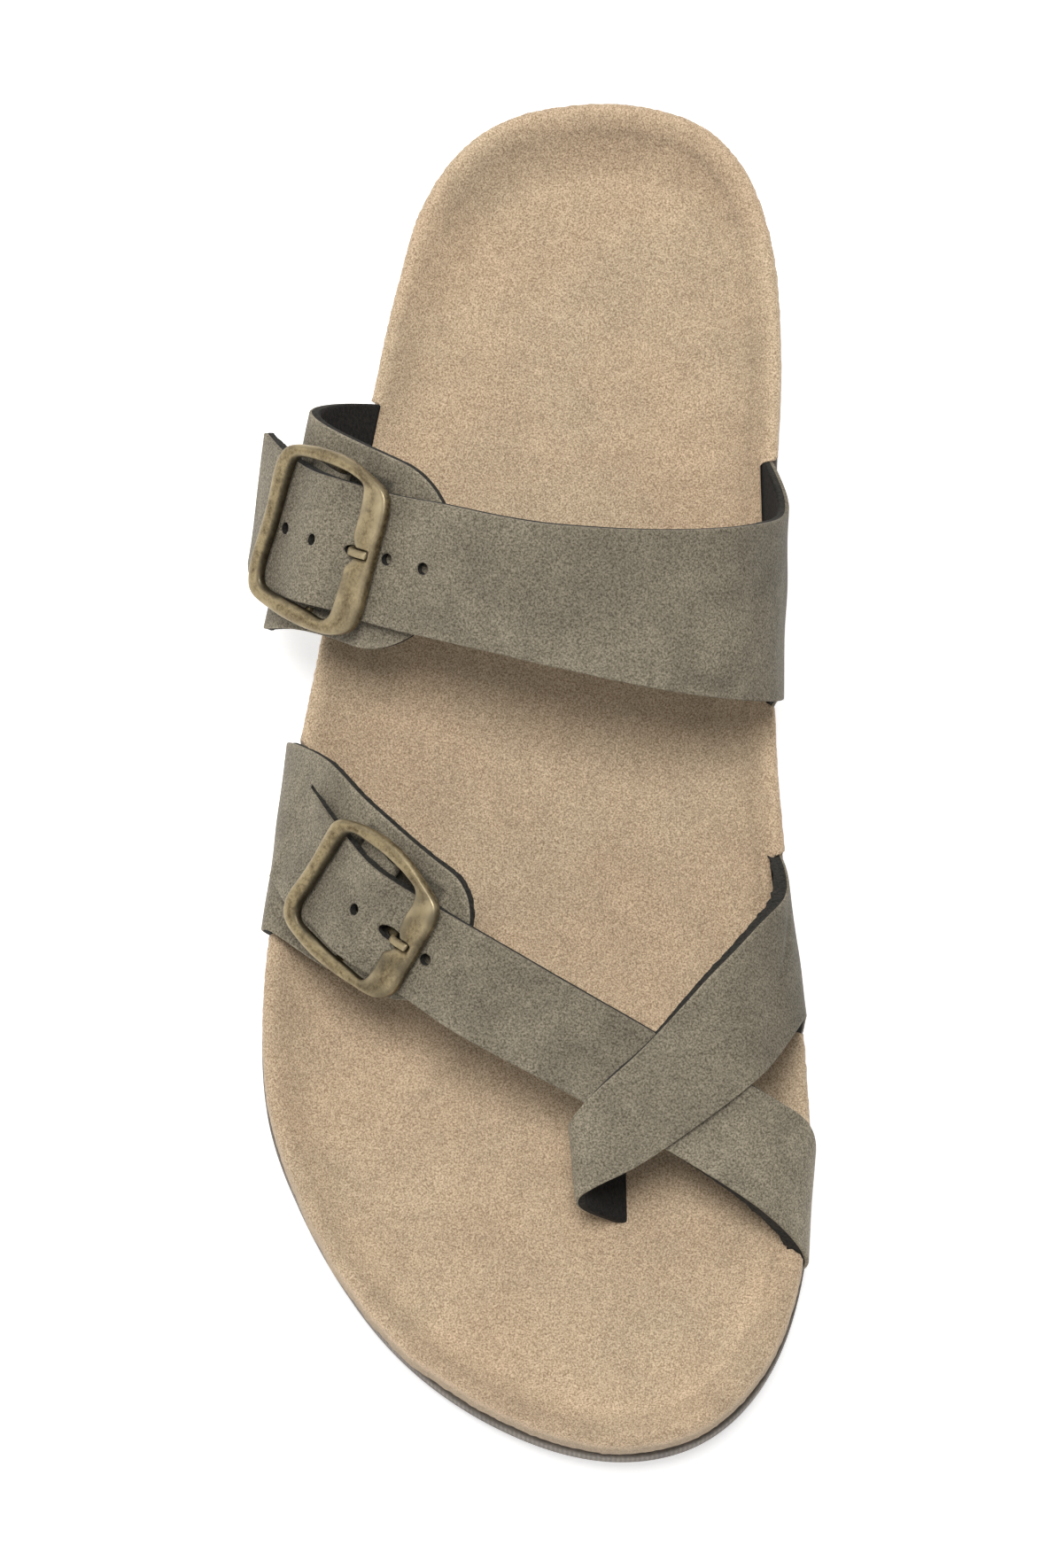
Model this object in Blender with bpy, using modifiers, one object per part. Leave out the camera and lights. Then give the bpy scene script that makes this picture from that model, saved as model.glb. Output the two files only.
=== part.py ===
"""Cross-strap sandal, right shoe: contoured footbed on a thin outsole, three leather straps, two buckles.

Working axes in millimetres before the last shift: +X medial, -X lateral, +Y heel, -Y toe, +Z up.
"""
import bpy
import bmesh
import numpy as np
from mathutils import Matrix, Vector

MM = 0.001
CURVE_WELD = 0.002
RING_WELD = 0.02

# Sizes of the sole
GAP = 0.3
OUTSOLE_PROUD = 0.6
OUTSOLE_THICK = 7.0
HEEL_EXTRA = 2.0
HEEL_EXTRA_FROM = -20.0
HEEL_EXTRA_RUN = 60.0
TOE_SPRING = 5.5
TOE_BREAK = -72.0
TOE_END = -125.7
SPRING_POWER = 1.8
WAIST_LIFT = 1.6
WAIST_CENTRE = 18.0
WAIST_HALF_RUN = 38.0
HEEL_BEVEL = 1.2
HEEL_BEVEL_FROM = 112.0
HEEL_END = 130.0
EDGE_CHAMFER = 0.8
RIM_RADIUS = 3.0
SLOPE_SKEW = 0.8
HEEL_CENTRE = 92.0
TOE_CENTRE = -82.0
STATIONS = 24
FAN_STEPS = 18
FAN_BEHIND = 8.0
OUTLINE_STEPS = 1440
TREAD_INSET = 9.0
FOOTBED_INSETS = (0.0, 0.5, 1.5, RIM_RADIUS, 5.5, 8.5, 12.0, 17.0)
INSET_SHARE = 0.8
SHARP_ANGLE = 0.7

# Sizes of the straps
WALL = 2.2
CROSS_SECTION_STEPS = 5
ALONG_STEP = 3.4
TIP_STEPS = 10
TIP_SHARE = 0.97
RECESS_REACH = 8.0
RECESS_OVER = 5.0
RECESS_SPREAD = 0.6
RECESS_CLEAR = 0.45
RECESS_UNDER = 1.5
RECESS_STEPS = 9

# Sizes shared by both buckles
FRAME_THICK = 2.2
FRAME_ROUND = 0.45
LATERAL_BAR = 2.8
MEDIAL_BAR = 4.5
BAR_RADIUS = 0.8
BAR_DROP = 2.6
PRONG_RADIUS = 0.55
PRONG_REACH = 1.0
PRONG_END_INSET = 1.3
NOTCH_RADIUS = 0.85
NOTCH_INSIDE = 1.5
NOTCH_END_INSET = 0.9
HOLE_RADIUS = 1.0
HOLE_DEPTH = 10.0
HOLE_LEVEL = -2.0
HOLE_SIDES = 14
PRONG_HOLE_AT = 5.5
PRONG_HOLE_HALF = (2.4, 1.1)
FRAME_POWER = 3.5
FRAME_POINTS = 44
WINDOW_POWER = 7.0
WINDOW_POINTS = 36

# Side outline of the footbed, round from the back of the heel by the lateral side
OUTLINE = [
    # place, x, y
    ("heel back", 12.0, 130.0),
    ("heel lateral corner", -13.0, 121.2),
    ("heel lateral side", -24.4, 98.0),
    ("heel front lateral", -30.5, 70.5),
    ("waist lateral", -40.7, 20.0),
    ("ball lateral", -49.4, -36.0),
    ("little toe", -48.4, -63.0),
    ("toes lateral", -40.7, -83.2),
    ("toe lateral corner", -24.5, -105.7),
    ("toe lateral front", -5.1, -119.3),
    ("toe tip", 15.0, -125.1),
    ("big toe front", 31.0, -121.8),
    ("big toe corner", 42.4, -111.0),
    ("big toe side", 50.0, -90.5),
    ("ball medial", 51.0, -56.0),
    ("ball rear medial", 47.0, -12.0),
    ("waist medial", 45.5, 12.0),
    ("heel front medial", 46.5, 66.0),
    ("heel medial side", 45.8, 100.0),
    ("heel medial corner", 36.0, 122.7),
]

# Footbed heights along the foot
FOOTBED = [
    # y, floor, lateral rim above floor, medial rim above floor, width of the rim's slope
    (130.0, 29.0, 7.0, 7.0, 14.0),
    (95.0, 28.0, 7.0, 7.5, 14.0),
    (65.0, 26.5, 5.5, 8.0, 13.0),
    (35.0, 25.0, 5.0, 8.0, 13.0),
    (5.0, 21.5, 5.5, 7.0, 13.0),
    (-35.0, 19.0, 5.5, 5.5, 12.0),
    (-80.0, 19.0, 5.0, 5.0, 11.0),
    (-127.0, 20.5, 4.5, 4.5, 10.0),
]

# Buckle places: centre, heading of the strap in plan, its rise to the medial side, its bank to the front,
# and the strap's spare holes in the buckle's axes
BUCKLES = {
    "instep": {
        "centre": (-39.2, 37.8, 54.0), "heading": -33.5, "rise": 29.5, "bank": 32.5,
        "half_length": 13.2, "half_height": 16.4, "window_half_height": 13.3,
        "holes": ((-10.2, -0.3), (-2.2, 0.0), (14.3, 1.8), (22.0, 3.0)),
    },
    "front": {
        "centre": (-30.9, -29.6, 45.0), "heading": -44.7, "rise": 16.5, "bank": 35.0,
        "half_length": 14.0, "half_height": 13.6, "window_half_height": 10.7,
        "holes": ((-2.4, 0.0), (14.4, 0.0)),
    },
}

# Outer faces of the straps, a row for each section: rear edge x, y, z and front edge x, y, z.
# Rows marked "shoe" are in the working axes. Rows marked "buckle" are in the buckle's own axes:
# x towards the medial side, y towards the heel, z out of the frame's plane.
INSTEP_STRAP = [
    # axes, place, rear x, y, z, front x, y, z
    ("shoe", "tuck", 45.3, 66.0, 9.6, 44.6, 12.0, 9.4),
    ("shoe", "rim", 45.2, 59.5, 32.0, 46.0, 13.0, 28.0),
    ("shoe", "medial turn", 47.4, 44.5, 50.0, 46.6, 11.0, 40.0),
    ("shoe", "shoulder", 43.0, 39.0, 60.5, 43.5, 8.5, 48.5),
    ("shoe", "medial top", 31.0, 35.0, 70.0, 31.0, 7.0, 58.0),
    ("shoe", "crown", 13.5, 33.7, 75.0, 13.5, 9.0, 62.5),
    ("shoe", "lateral top", -4.0, 36.2, 73.0, -7.0, 14.2, 61.0),
    ("shoe", "flap end", -17.0, 40.2, 69.0, -21.0, 18.4, 58.0),
    ("buckle", "medial bar", 11.0, 13.0, -1.9, 11.0, -11.4, -1.9),
    ("buckle", "window medial", 7.8, 12.6, -1.4, 7.8, -11.7, -1.4),
    ("buckle", "centre bar", -0.6, 12.2, 1.0, -0.6, -12.0, 1.0),
    ("buckle", "window lateral", -9.6, 12.1, -1.5, -9.6, -12.1, -1.5),
    ("buckle", "lateral bar", -12.4, 12.1, -1.9, -12.4, -12.1, -1.9),
    ("buckle", "tail", -23.5, 12.6, -6.5, -20.5, -12.1, -6.5),
]
INSTEP_FLAP = [
    # axes, place, rear x, y, z, front x, y, z
    ("shoe", "tuck", -29.0, 74.5, 9.9, -38.4, 28.0, 9.6),
    ("shoe", "rim", -30.6, 71.0, 31.0, -39.6, 29.0, 28.5),
    ("buckle", "fold", -15.6, 19.4, -8.5, -14.6, -20.2, -8.2),
    ("buckle", "turn", -9.5, 18.8, -5.4, -8.0, -19.0, -5.2),
    ("buckle", "flat", 1.0, 18.5, -5.1, 1.0, -18.2, -5.1),
    ("buckle", "end", 13.0, 18.5, -4.9, 13.0, -17.0, -4.9),
    ("buckle", "tip", 26.0, 18.5, -8.3, 26.0, -16.0, -8.3),
]
FRONT_STRAP = [
    # axes, place, rear x, y, z, front x, y, z
    ("buckle", "tail", -26.1, 8.8, -5.2, -25.0, -9.8, -4.2),
    ("buckle", "lateral bar", -13.2, 9.3, -1.9, -13.2, -9.3, -1.9),
    ("buckle", "window lateral", -10.4, 9.3, -1.5, -10.4, -9.3, -1.5),
    ("buckle", "centre bar", -0.6, 9.3, 1.0, -0.6, -9.3, 1.0),
    ("buckle", "window medial", 8.6, 9.3, -1.4, 8.6, -9.1, -1.4),
    ("buckle", "medial bar", 11.8, 9.4, -1.9, 11.8, -9.0, -1.9),
    ("shoe", "flap end", -11.7, -34.7, 53.0, -19.1, -49.3, 44.5),
    ("shoe", "middle", 3.5, -43.3, 51.3, -4.5, -57.8, 43.3),
    ("shoe", "crossing start", 22.3, -53.5, 47.5, 9.5, -65.1, 41.5),
    ("shoe", "crossing", 31.1, -57.9, 44.5, 19.1, -70.4, 39.5),
    ("shoe", "crossing end", 39.0, -61.4, 41.5, 26.5, -74.2, 37.5),
    ("shoe", "medial top", 45.5, -64.2, 37.5, 36.0, -79.5, 35.0),
    ("shoe", "medial turn", 50.7, -66.8, 32.0, 43.5, -84.0, 31.0),
    ("shoe", "rim", 52.3, -70.3, 25.5, 49.5, -91.0, 24.0),
    ("shoe", "tuck", 51.0, -73.0, 8.0, 48.6, -95.0, 9.2),
]
TOE_STRAP = [
    # axes, place, rear x, y, z, front x, y, z
    ("shoe", "tuck", 46.0, -13.0, 8.6, 50.0, -48.0, 7.5),
    ("shoe", "rim", 46.9, -16.0, 26.0, 50.7, -47.0, 25.0),
    ("shoe", "medial turn", 47.6, -22.5, 34.0, 50.7, -47.0, 31.5),
    ("shoe", "shoulder", 42.7, -31.6, 44.0, 44.5, -56.9, 40.0),
    ("shoe", "medial top", 37.1, -38.3, 48.0, 39.6, -62.2, 42.5),
    ("shoe", "crossing start", 32.7, -43.1, 49.3, 31.8, -68.0, 41.0),
    ("shoe", "crossing", 25.2, -51.4, 49.0, 24.1, -73.3, 39.5),
    ("shoe", "crossing end", 17.3, -58.9, 46.5, 18.0, -76.9, 38.0),
    ("shoe", "bend", 9.8, -65.1, 42.8, 12.1, -79.4, 36.0),
    ("shoe", "fold", 6.7, -68.2, 37.5, 8.3, -81.3, 33.0),
    ("shoe", "post", 9.4, -68.0, 28.5, 9.8, -82.5, 26.5),
    ("shoe", "slot", 15.2, -67.3, 19.0, 15.0, -83.1, 19.0),
    ("shoe", "foot", 17.8, -67.2, 14.0, 17.6, -83.1, 14.0),
]
FRONT_FLAP = [
    # axes, place, rear x, y, z, front x, y, z
    ("shoe", "tuck", -42.8, 8.0, 8.8, -48.0, -27.0, 7.6),
    ("shoe", "rim", -43.8, 6.0, 27.0, -49.6, -29.0, 24.5),
    ("buckle", "bend", -27.0, 13.2, -9.5, -16.8, -18.2, -4.2),
    ("buckle", "turn", -18.0, 14.0, -6.3, -12.0, -17.8, -4.7),
    ("buckle", "flat", -4.0, 14.2, -5.1, -3.0, -16.6, -5.1),
    ("buckle", "end", 8.0, 14.6, -4.9, 8.0, -13.6, -4.9),
    ("buckle", "tip", 18.8, 14.8, -6.6, 18.8, -12.0, -6.6),
]
FLAP_ROUND = {"instep": (16.0, 2.0), "front": (10.0, 2.2)}  # length of the rounded tip, squareness

# Prong in the buckle's axes: x, z, with its hook under the centre bar
PRONG_RISE = [(3.2, -3.4), (4.8, -2.4), (5.9, -0.6), (6.9, 0.7), (8.4, 1.0)]
HOOK_ANGLES = (150.0, 180.0, 215.0, 250.0, 285.0, 315.0)

# Finishes: colour, roughness, metallic
FINISHES = {
    "suede": ((0.57, 0.44, 0.32), 0.95, 0.0),
    "rubber": ((0.24, 0.21, 0.19), 0.8, 0.0),
    "nubuck": ((0.24, 0.22, 0.18), 0.85, 0.0),
    "brass": ((0.42, 0.33, 0.2), 0.4, 1.0),
}


def clear_scene():
    for item in list(bpy.data.objects):
        bpy.data.objects.remove(item, do_unlink=True)


def make_collection(name):
    collection = bpy.data.collections.new(name)
    bpy.context.scene.collection.children.link(collection)
    return collection


def make_material(name):
    colour, roughness, metallic = FINISHES[name]
    material = bpy.data.materials.new(name)
    material.use_nodes = True
    shader = material.node_tree.nodes["Principled BSDF"]
    shader.inputs["Base Color"].default_value = (*colour, 1.0)
    shader.inputs["Roughness"].default_value = roughness
    shader.inputs["Metallic"].default_value = metallic
    return material


def cubic(knots, values, at):
    """Natural cubic spline through the values at the knots."""
    knots = np.asarray(knots, float)
    values = np.asarray(values, float)
    step = np.diff(knots)
    system = np.eye(len(knots))
    right = np.zeros(values.shape)
    for i in range(1, len(knots) - 1):
        system[i, i - 1:i + 2] = step[i - 1], 2 * (step[i - 1] + step[i]), step[i]
        right[i] = 6 * ((values[i + 1] - values[i]) / step[i] - (values[i] - values[i - 1]) / step[i - 1])
    bend = np.linalg.solve(system, right.reshape(len(knots), -1)).reshape(values.shape)
    at = np.asarray(at, float)
    k = np.clip(np.searchsorted(knots, at) - 1, 0, len(step) - 1)
    shape = (-1,) + (1,) * (values.ndim - 1)
    h = step[k].reshape(shape)
    a = (knots[k + 1] - at).reshape(shape) / h
    b = 1 - a
    return a * values[k] + b * values[k + 1] + ((a**3 - a) * bend[k] + (b**3 - b) * bend[k + 1]) * h**2 / 6


def add_object(name, mesh, collection, material=None):
    item = bpy.data.objects.new(name, mesh)
    collection.objects.link(item)
    if material:
        mesh.materials.append(material)
    return item


def mesh_from_grid(name, points, wrap=False):
    """Quads over a grid of points in millimetres, closed round its second index where wrap is set."""
    rows, columns = points.shape[:2]
    index = np.arange(rows * columns).reshape(rows, columns)
    right = np.roll(index, -1, axis=1)
    last = columns if wrap else columns - 1
    quads = np.stack([index[:-1, :last], index[1:, :last], right[1:, :last], right[:-1, :last]], -1)
    mesh = bpy.data.meshes.new(name)
    mesh.from_pydata((points.reshape(-1, 3) * MM).tolist(), [], quads.reshape(-1, 4).tolist())
    return mesh


def add_boolean(item, other, operation):
    modifier = item.modifiers.new(operation.lower(), "BOOLEAN")
    modifier.operation = operation
    modifier.object = other
    modifier.solver = "EXACT"


def hide_cutter(item):
    item.hide_render = True
    item.display_type = "WIRE"


def curve_to_mesh_object(curve, name, matrix, collection, material=None):
    """Turn a curve into a welded mesh object placed by a matrix."""
    holder = bpy.data.objects.new(name, curve)
    collection.objects.link(holder)
    graph = bpy.context.evaluated_depsgraph_get()
    mesh = bpy.data.meshes.new_from_object(holder.evaluated_get(graph))
    bpy.data.objects.remove(holder)
    welded = bmesh.new()
    welded.from_mesh(mesh)
    bmesh.ops.remove_doubles(welded, verts=welded.verts, dist=CURVE_WELD * MM)
    bmesh.ops.recalc_face_normals(welded, faces=welded.faces)
    welded.to_mesh(mesh)
    welded.free()
    mesh.materials.clear()
    item = add_object(name, mesh, collection, material)
    item.matrix_world = matrix
    return item


def sole_rays():
    """Edge points round the sole, the spine point that each looks to, and how medial each one is."""
    table = np.array([row[1:] for row in OUTLINE])
    loop = np.vstack([table[-3:], table, table[:4]])  # rows repeated so that the spline closes
    knots = np.concatenate([[0], np.cumsum(np.linalg.norm(np.diff(loop, axis=0), axis=1))])
    dense = cubic(knots, loop, np.linspace(knots[3], knots[-4], OUTLINE_STEPS + 1))[:-1]
    heel = int(np.argmax(dense[:, 1]))
    dense = np.roll(dense, -heel, axis=0)
    toe = int(np.argmin(dense[:, 1]))
    lateral = dense[:toe + 1][::-1]
    medial = dense[toe:]
    along = np.linspace(HEEL_CENTRE, TOE_CENTRE, STATIONS)
    left = np.interp(along, lateral[:, 1], lateral[:, 0])
    right = np.interp(along, medial[:, 1], medial[:, 0])
    spine = np.stack([(left + right) / 2, along], -1)

    def fan(centre, sign):
        offset = (dense - centre) * (1, sign)
        offset = offset[offset[:, 1] > -FAN_BEHIND]
        angle = np.arctan2(offset[:, 1], offset[:, 0])
        order = np.argsort(angle)
        turn = np.linspace(0, np.pi, FAN_STEPS + 1)[1:-1]
        reach = np.interp(turn, angle[order], np.linalg.norm(offset, axis=1)[order])
        points = centre + np.stack([np.cos(turn), sign * np.sin(turn)], -1) * reach[:, None]
        return points, np.tile(centre, (len(turn), 1)), (1 + np.cos(turn)) / 2

    back, back_core, back_medial = fan(spine[0], 1)
    front, front_core, front_medial = fan(spine[-1], -1)
    edge = np.vstack([back, np.stack([left, along], -1), front[::-1], np.stack([right, along], -1)[::-1]])
    core = np.vstack([back_core, spine, front_core, spine[::-1]])
    side = np.concatenate([back_medial, np.zeros(STATIONS), front_medial[::-1], np.ones(STATIONS)])
    return edge, core, side


def ring(edge, core, inset):
    """Points that lie inset millimetres inside the edge, on the way to the spine."""
    way = core - edge
    length = np.linalg.norm(way, axis=1, keepdims=True)
    return edge + way / length * np.minimum(inset, length)


def spring(y):
    return TOE_SPRING * np.clip((TOE_BREAK - y) / (TOE_BREAK - TOE_END), 0, 1.1) ** SPRING_POWER


def ground(y):
    """Height of the sole's underside: flat heel and forefoot, raised waist, toe spring, heel bevel."""
    waist = np.clip(1 - np.abs(y - WAIST_CENTRE) / WAIST_HALF_RUN, 0, 1)
    waist = WAIST_LIFT * waist**2 * (3 - 2 * waist)
    heel = HEEL_BEVEL * np.clip((y - HEEL_BEVEL_FROM) / (HEEL_END - HEEL_BEVEL_FROM), 0, 1.1) ** 2
    return spring(y) + waist + heel


def outsole_top(y):
    rise = np.clip((y - HEEL_EXTRA_FROM) / HEEL_EXTRA_RUN, 0, 1)
    return OUTSOLE_THICK + HEEL_EXTRA * rise**2 * (3 - 2 * rise) + spring(y)


def footbed_top(y, inset, side):
    """Floor height plus the rim's slope, steepest near the rim and rounded over at the edge."""
    table = np.array(FOOTBED)[::-1]
    floor, low, high, width = cubic(table[:, 0], table[:, 1:], y).T
    rim = low + (high - low) * side
    fall = np.clip(1 - (inset / width) ** SLOPE_SKEW, 0, 1)
    over = np.clip(RIM_RADIUS - inset, 0, RIM_RADIUS)
    return floor + rim * fall**2 * (3 - 2 * fall) - (RIM_RADIUS - np.sqrt(RIM_RADIUS**2 - over**2))


def close_rings(name, rings, collection, material):
    """A closed body from rings that start and end on the spine."""
    mesh = mesh_from_grid(name, np.stack(rings), wrap=True)
    body = bmesh.new()
    body.from_mesh(mesh)
    bmesh.ops.remove_doubles(body, verts=body.verts, dist=RING_WELD * MM)
    bmesh.ops.dissolve_degenerate(body, edges=body.edges, dist=RING_WELD * MM / 2)
    bmesh.ops.recalc_face_normals(body, faces=body.faces)
    body.to_mesh(mesh)
    body.free()
    mesh.shade_smooth()
    mesh.set_sharp_from_angle(angle=SHARP_ANGLE)
    return add_object(name, mesh, collection, material)


def make_outsole(collection, material):
    edge, core, _ = sole_rays()
    edge = ring(edge, core, -OUTSOLE_PROUD)
    levels = [(core, ground, 0.0), (ring(edge, core, TREAD_INSET), ground, 0.0),
              (ring(edge, core, EDGE_CHAMFER), ground, 0.0), (edge, ground, EDGE_CHAMFER),
              (edge, outsole_top, 0.0), (core, outsole_top, 0.0)]
    rings = [np.column_stack([plan, height(plan[:, 1]) + lift]) for plan, height, lift in levels]
    return close_rings("outsole", rings, collection, material)


def make_footbed(collection, material):
    edge, core, side = sole_rays()
    under = [(core, 0.0), (ring(edge, core, EDGE_CHAMFER), 0.0), (edge, EDGE_CHAMFER)]
    rings = [np.column_stack([plan, outsole_top(plan[:, 1]) + GAP + lift]) for plan, lift in under]
    reach = np.linalg.norm(core - edge, axis=1)
    for inset in FOOTBED_INSETS:
        depth = np.minimum(inset, reach * INSET_SHARE)
        plan = ring(edge, core, depth[:, None])
        rings.append(np.column_stack([plan, footbed_top(plan[:, 1], depth, side)]))
    rings.append(np.column_stack([core, footbed_top(core[:, 1], reach, side)]))
    return close_rings("footbed", rings, collection, material)


def buckle_matrix(name):
    """The buckle's axes in millimetres: x to the medial side, y to the heel, z out of the frame."""
    buckle = BUCKLES[name]
    heading, rise, bank = np.radians([buckle["heading"], buckle["rise"], buckle["bank"]])
    along = np.array([np.cos(heading) * np.cos(rise), np.sin(heading) * np.cos(rise), np.sin(rise)])
    level = np.array([-np.sin(heading), np.cos(heading), 0.0])
    upright = np.cross(along, level)
    back = level * np.cos(bank) + upright * np.sin(bank)
    return np.column_stack([along, back, np.cross(along, back)]), np.array(buckle["centre"])


def placed(name):
    axes, centre = buckle_matrix(name)
    matrix = Matrix(axes.tolist()).to_4x4()
    matrix.translation = Vector((centre * MM).tolist())
    return matrix


def strap_rows(table, buckle):
    """Rear and front edge points of each row, in the shoe's axes."""
    axes, centre = buckle_matrix(buckle)
    edges = np.array([row[2:] for row in table], float).reshape(-1, 2, 3)
    local = np.array([row[0] == "buckle" for row in table])
    edges[local] = edges[local] @ axes.T + centre
    return edges


def strap_knots(edges):
    middle = edges.mean(axis=1)
    return np.concatenate([[0], np.cumsum(np.linalg.norm(np.diff(middle, axis=0), axis=1))])


def faces_up(edges):
    """Whether rear to front, taken along the rows, gives a strap whose outer face is its upper one."""
    forward = np.diff(edges.mean(axis=1), axis=0)
    across = (edges[:, 1] - edges[:, 0])[:-1]
    return np.cross(forward, across).sum(axis=0)[2] > 0


def strap_grid(edges, start, end, steps, spread=0.0, round_tip=None):
    """Points along a strap between two lengths and across it, rear edge to front edge."""
    knots = strap_knots(edges)
    at = np.linspace(start, end, steps)
    if round_tip:
        turn = np.linspace(0, TIP_SHARE, TIP_STEPS) * np.pi / 2
        straight = knots[-1] - round_tip[0]
        at = np.concatenate([np.linspace(start, straight, steps)[:-1],
                             straight + round_tip[0] * np.sin(turn)])
    section = cubic(knots, edges, at)
    across = section[:, 1] - section[:, 0]
    width = np.linalg.norm(across, axis=1)
    share = np.linspace(0, 1, CROSS_SECTION_STEPS)[None, :]
    stretch = 1 + 2 * spread / width
    if round_tip:
        past = np.clip((at - straight) / round_tip[0], 0, 1)
        stretch = stretch * (1 - past ** round_tip[1]) ** (1 / round_tip[1])
    share = 0.5 + (share - 0.5) * stretch[:, None]
    grid = section[:, None, 0] + across[:, None, :] * share[..., None]
    return grid if faces_up(edges) else grid[:, ::-1]


def make_strap(name, edges, collection, material=None, round_tip=None):
    """A strap as an open outer face thickened inwards by the wall."""
    length = strap_knots(edges)[-1]
    grid = strap_grid(edges, 0.0, length, int(length / ALONG_STEP) + 1, 0.0, round_tip)
    mesh = mesh_from_grid(name, grid)
    item = add_object(name, mesh, collection, material)
    thicken(item, WALL, -1.0)
    return item


def thicken(item, thickness, offset):
    modifier = item.modifiers.new("wall", "SOLIDIFY")
    modifier.thickness = thickness * MM
    modifier.offset = offset
    modifier.use_even_offset = True


def make_recess(name, edges, outwards, collection):
    """A cutter round a strap's tucked end, a gap wider each way, carried outwards by a length."""
    grid = strap_grid(edges, 0.0, strap_knots(edges)[1] + RECESS_OVER, RECESS_STEPS, RECESS_SPREAD)
    grid = np.vstack([grid[:1] - (0, 0, RECESS_UNDER), grid])
    item = add_object(name, mesh_from_grid(name, grid), collection)
    inner = WALL + RECESS_CLEAR
    thickness = inner + outwards
    thicken(item, thickness, (outwards - inner) / thickness)
    hide_cutter(item)
    return item


def superellipse(half_x, half_y, power, centre_x, count):
    """A barrel outline: |x/a|^n + |y/b|^n = 1."""
    turn = np.linspace(0, 2 * np.pi, count, endpoint=False)
    x = np.sign(np.cos(turn)) * np.abs(np.cos(turn)) ** (2 / power) * half_x + centre_x
    y = np.sign(np.sin(turn)) * np.abs(np.sin(turn)) ** (2 / power) * half_y
    return np.column_stack([x, y, np.zeros(count)])


def add_spline(curve, points, cyclic):
    spline = curve.splines.new("POLY")
    spline.points.add(len(points) - 1)
    for point, place in zip(spline.points, points):
        point.co = (*(np.asarray(place) * MM), 1.0)
    spline.use_cyclic_u = cyclic


def make_tube(name, points, radius, resolution, matrix, collection, material=None):
    curve = bpy.data.curves.new(name, "CURVE")
    curve.dimensions = "3D"
    curve.bevel_depth = radius * MM
    curve.bevel_resolution = resolution
    curve.use_fill_caps = True
    add_spline(curve, points, False)
    return curve_to_mesh_object(curve, name, matrix, collection, material)


def make_frame(name, cutters, collection, material):
    """Barrel-shaped frame with a wide medial bar, a notch for the prong and a dropped centre bar."""
    buckle = BUCKLES[name]
    half = buckle["half_length"]
    curve = bpy.data.curves.new(name + "_outline", "CURVE")
    curve.dimensions = "2D"
    curve.fill_mode = "BOTH"
    curve.extrude = (FRAME_THICK / 2 - FRAME_ROUND) * MM
    curve.bevel_depth = FRAME_ROUND * MM
    curve.bevel_resolution = 1
    curve.offset = -FRAME_ROUND * MM
    window = half - (LATERAL_BAR + MEDIAL_BAR) / 2
    shift = (LATERAL_BAR - MEDIAL_BAR) / 2
    add_spline(curve, superellipse(half, buckle["half_height"], FRAME_POWER, 0.0, FRAME_POINTS), True)
    window_outline = superellipse(window, buckle["window_half_height"], WINDOW_POWER, shift, WINDOW_POINTS)
    add_spline(curve, window_outline, True)
    matrix = placed(name)
    frame = curve_to_mesh_object(curve, name + "_buckle_frame", matrix, collection, material)
    seat = (buckle["half_height"] + buckle["window_half_height"]) / 2
    route = [(0, seat, 0), (0, seat, -BAR_DROP), (0, -seat, -BAR_DROP), (0, -seat, 0)]
    bar = make_tube(name + "_centre_bar", route, BAR_RADIUS, 2, matrix, cutters)
    inner_edge = half - MEDIAL_BAR
    groove = [(inner_edge - NOTCH_INSIDE, 0, PRONG_REACH), (half - NOTCH_END_INSET, 0, PRONG_REACH)]
    notch = make_tube(name + "_notch", groove, NOTCH_RADIUS, 3, matrix, cutters)
    for cutter, operation in ((bar, "UNION"), (notch, "DIFFERENCE")):
        add_boolean(frame, cutter, operation)
        hide_cutter(cutter)
    return frame


def make_prong(name, collection, material):
    """Wire that hooks under the centre bar, rises through the strap and lies in the notch."""
    hook = BAR_RADIUS + GAP + PRONG_RADIUS
    turn = np.radians(HOOK_ANGLES)
    route = [(x, 0, z) for x, z in zip(hook * np.cos(turn), hook * np.sin(turn) - BAR_DROP)]
    route += [(x, 0, z) for x, z in PRONG_RISE]
    route.append((BUCKLES[name]["half_length"] - PRONG_END_INSET, 0, PRONG_REACH))
    return make_tube(name + "_buckle_prong", route, PRONG_RADIUS, 2, placed(name), collection, material)


def make_holes(name, collection):
    """Cylinders through the strap: a long hole for the prong and round ones a pitch apart."""
    body = bmesh.new()
    places = [((PRONG_HOLE_AT, 0.0), PRONG_HOLE_HALF)]
    places += [(place, (HOLE_RADIUS, HOLE_RADIUS)) for place in BUCKLES[name]["holes"]]
    for (x, y), (half_x, half_y) in places:
        matrix = Matrix.Translation((x * MM, y * MM, HOLE_LEVEL * MM))
        matrix = matrix @ Matrix.Diagonal((half_x, half_y, 1, 1))
        bmesh.ops.create_cone(body, cap_ends=True, segments=HOLE_SIDES, radius1=MM, radius2=MM,
                              depth=HOLE_DEPTH * MM, matrix=matrix)
    mesh = bpy.data.meshes.new(name + "_holes")
    body.to_mesh(mesh)
    body.free()
    item = add_object(name + "_holes", mesh, collection)
    item.matrix_world = placed(name)
    hide_cutter(item)
    return item


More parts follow.
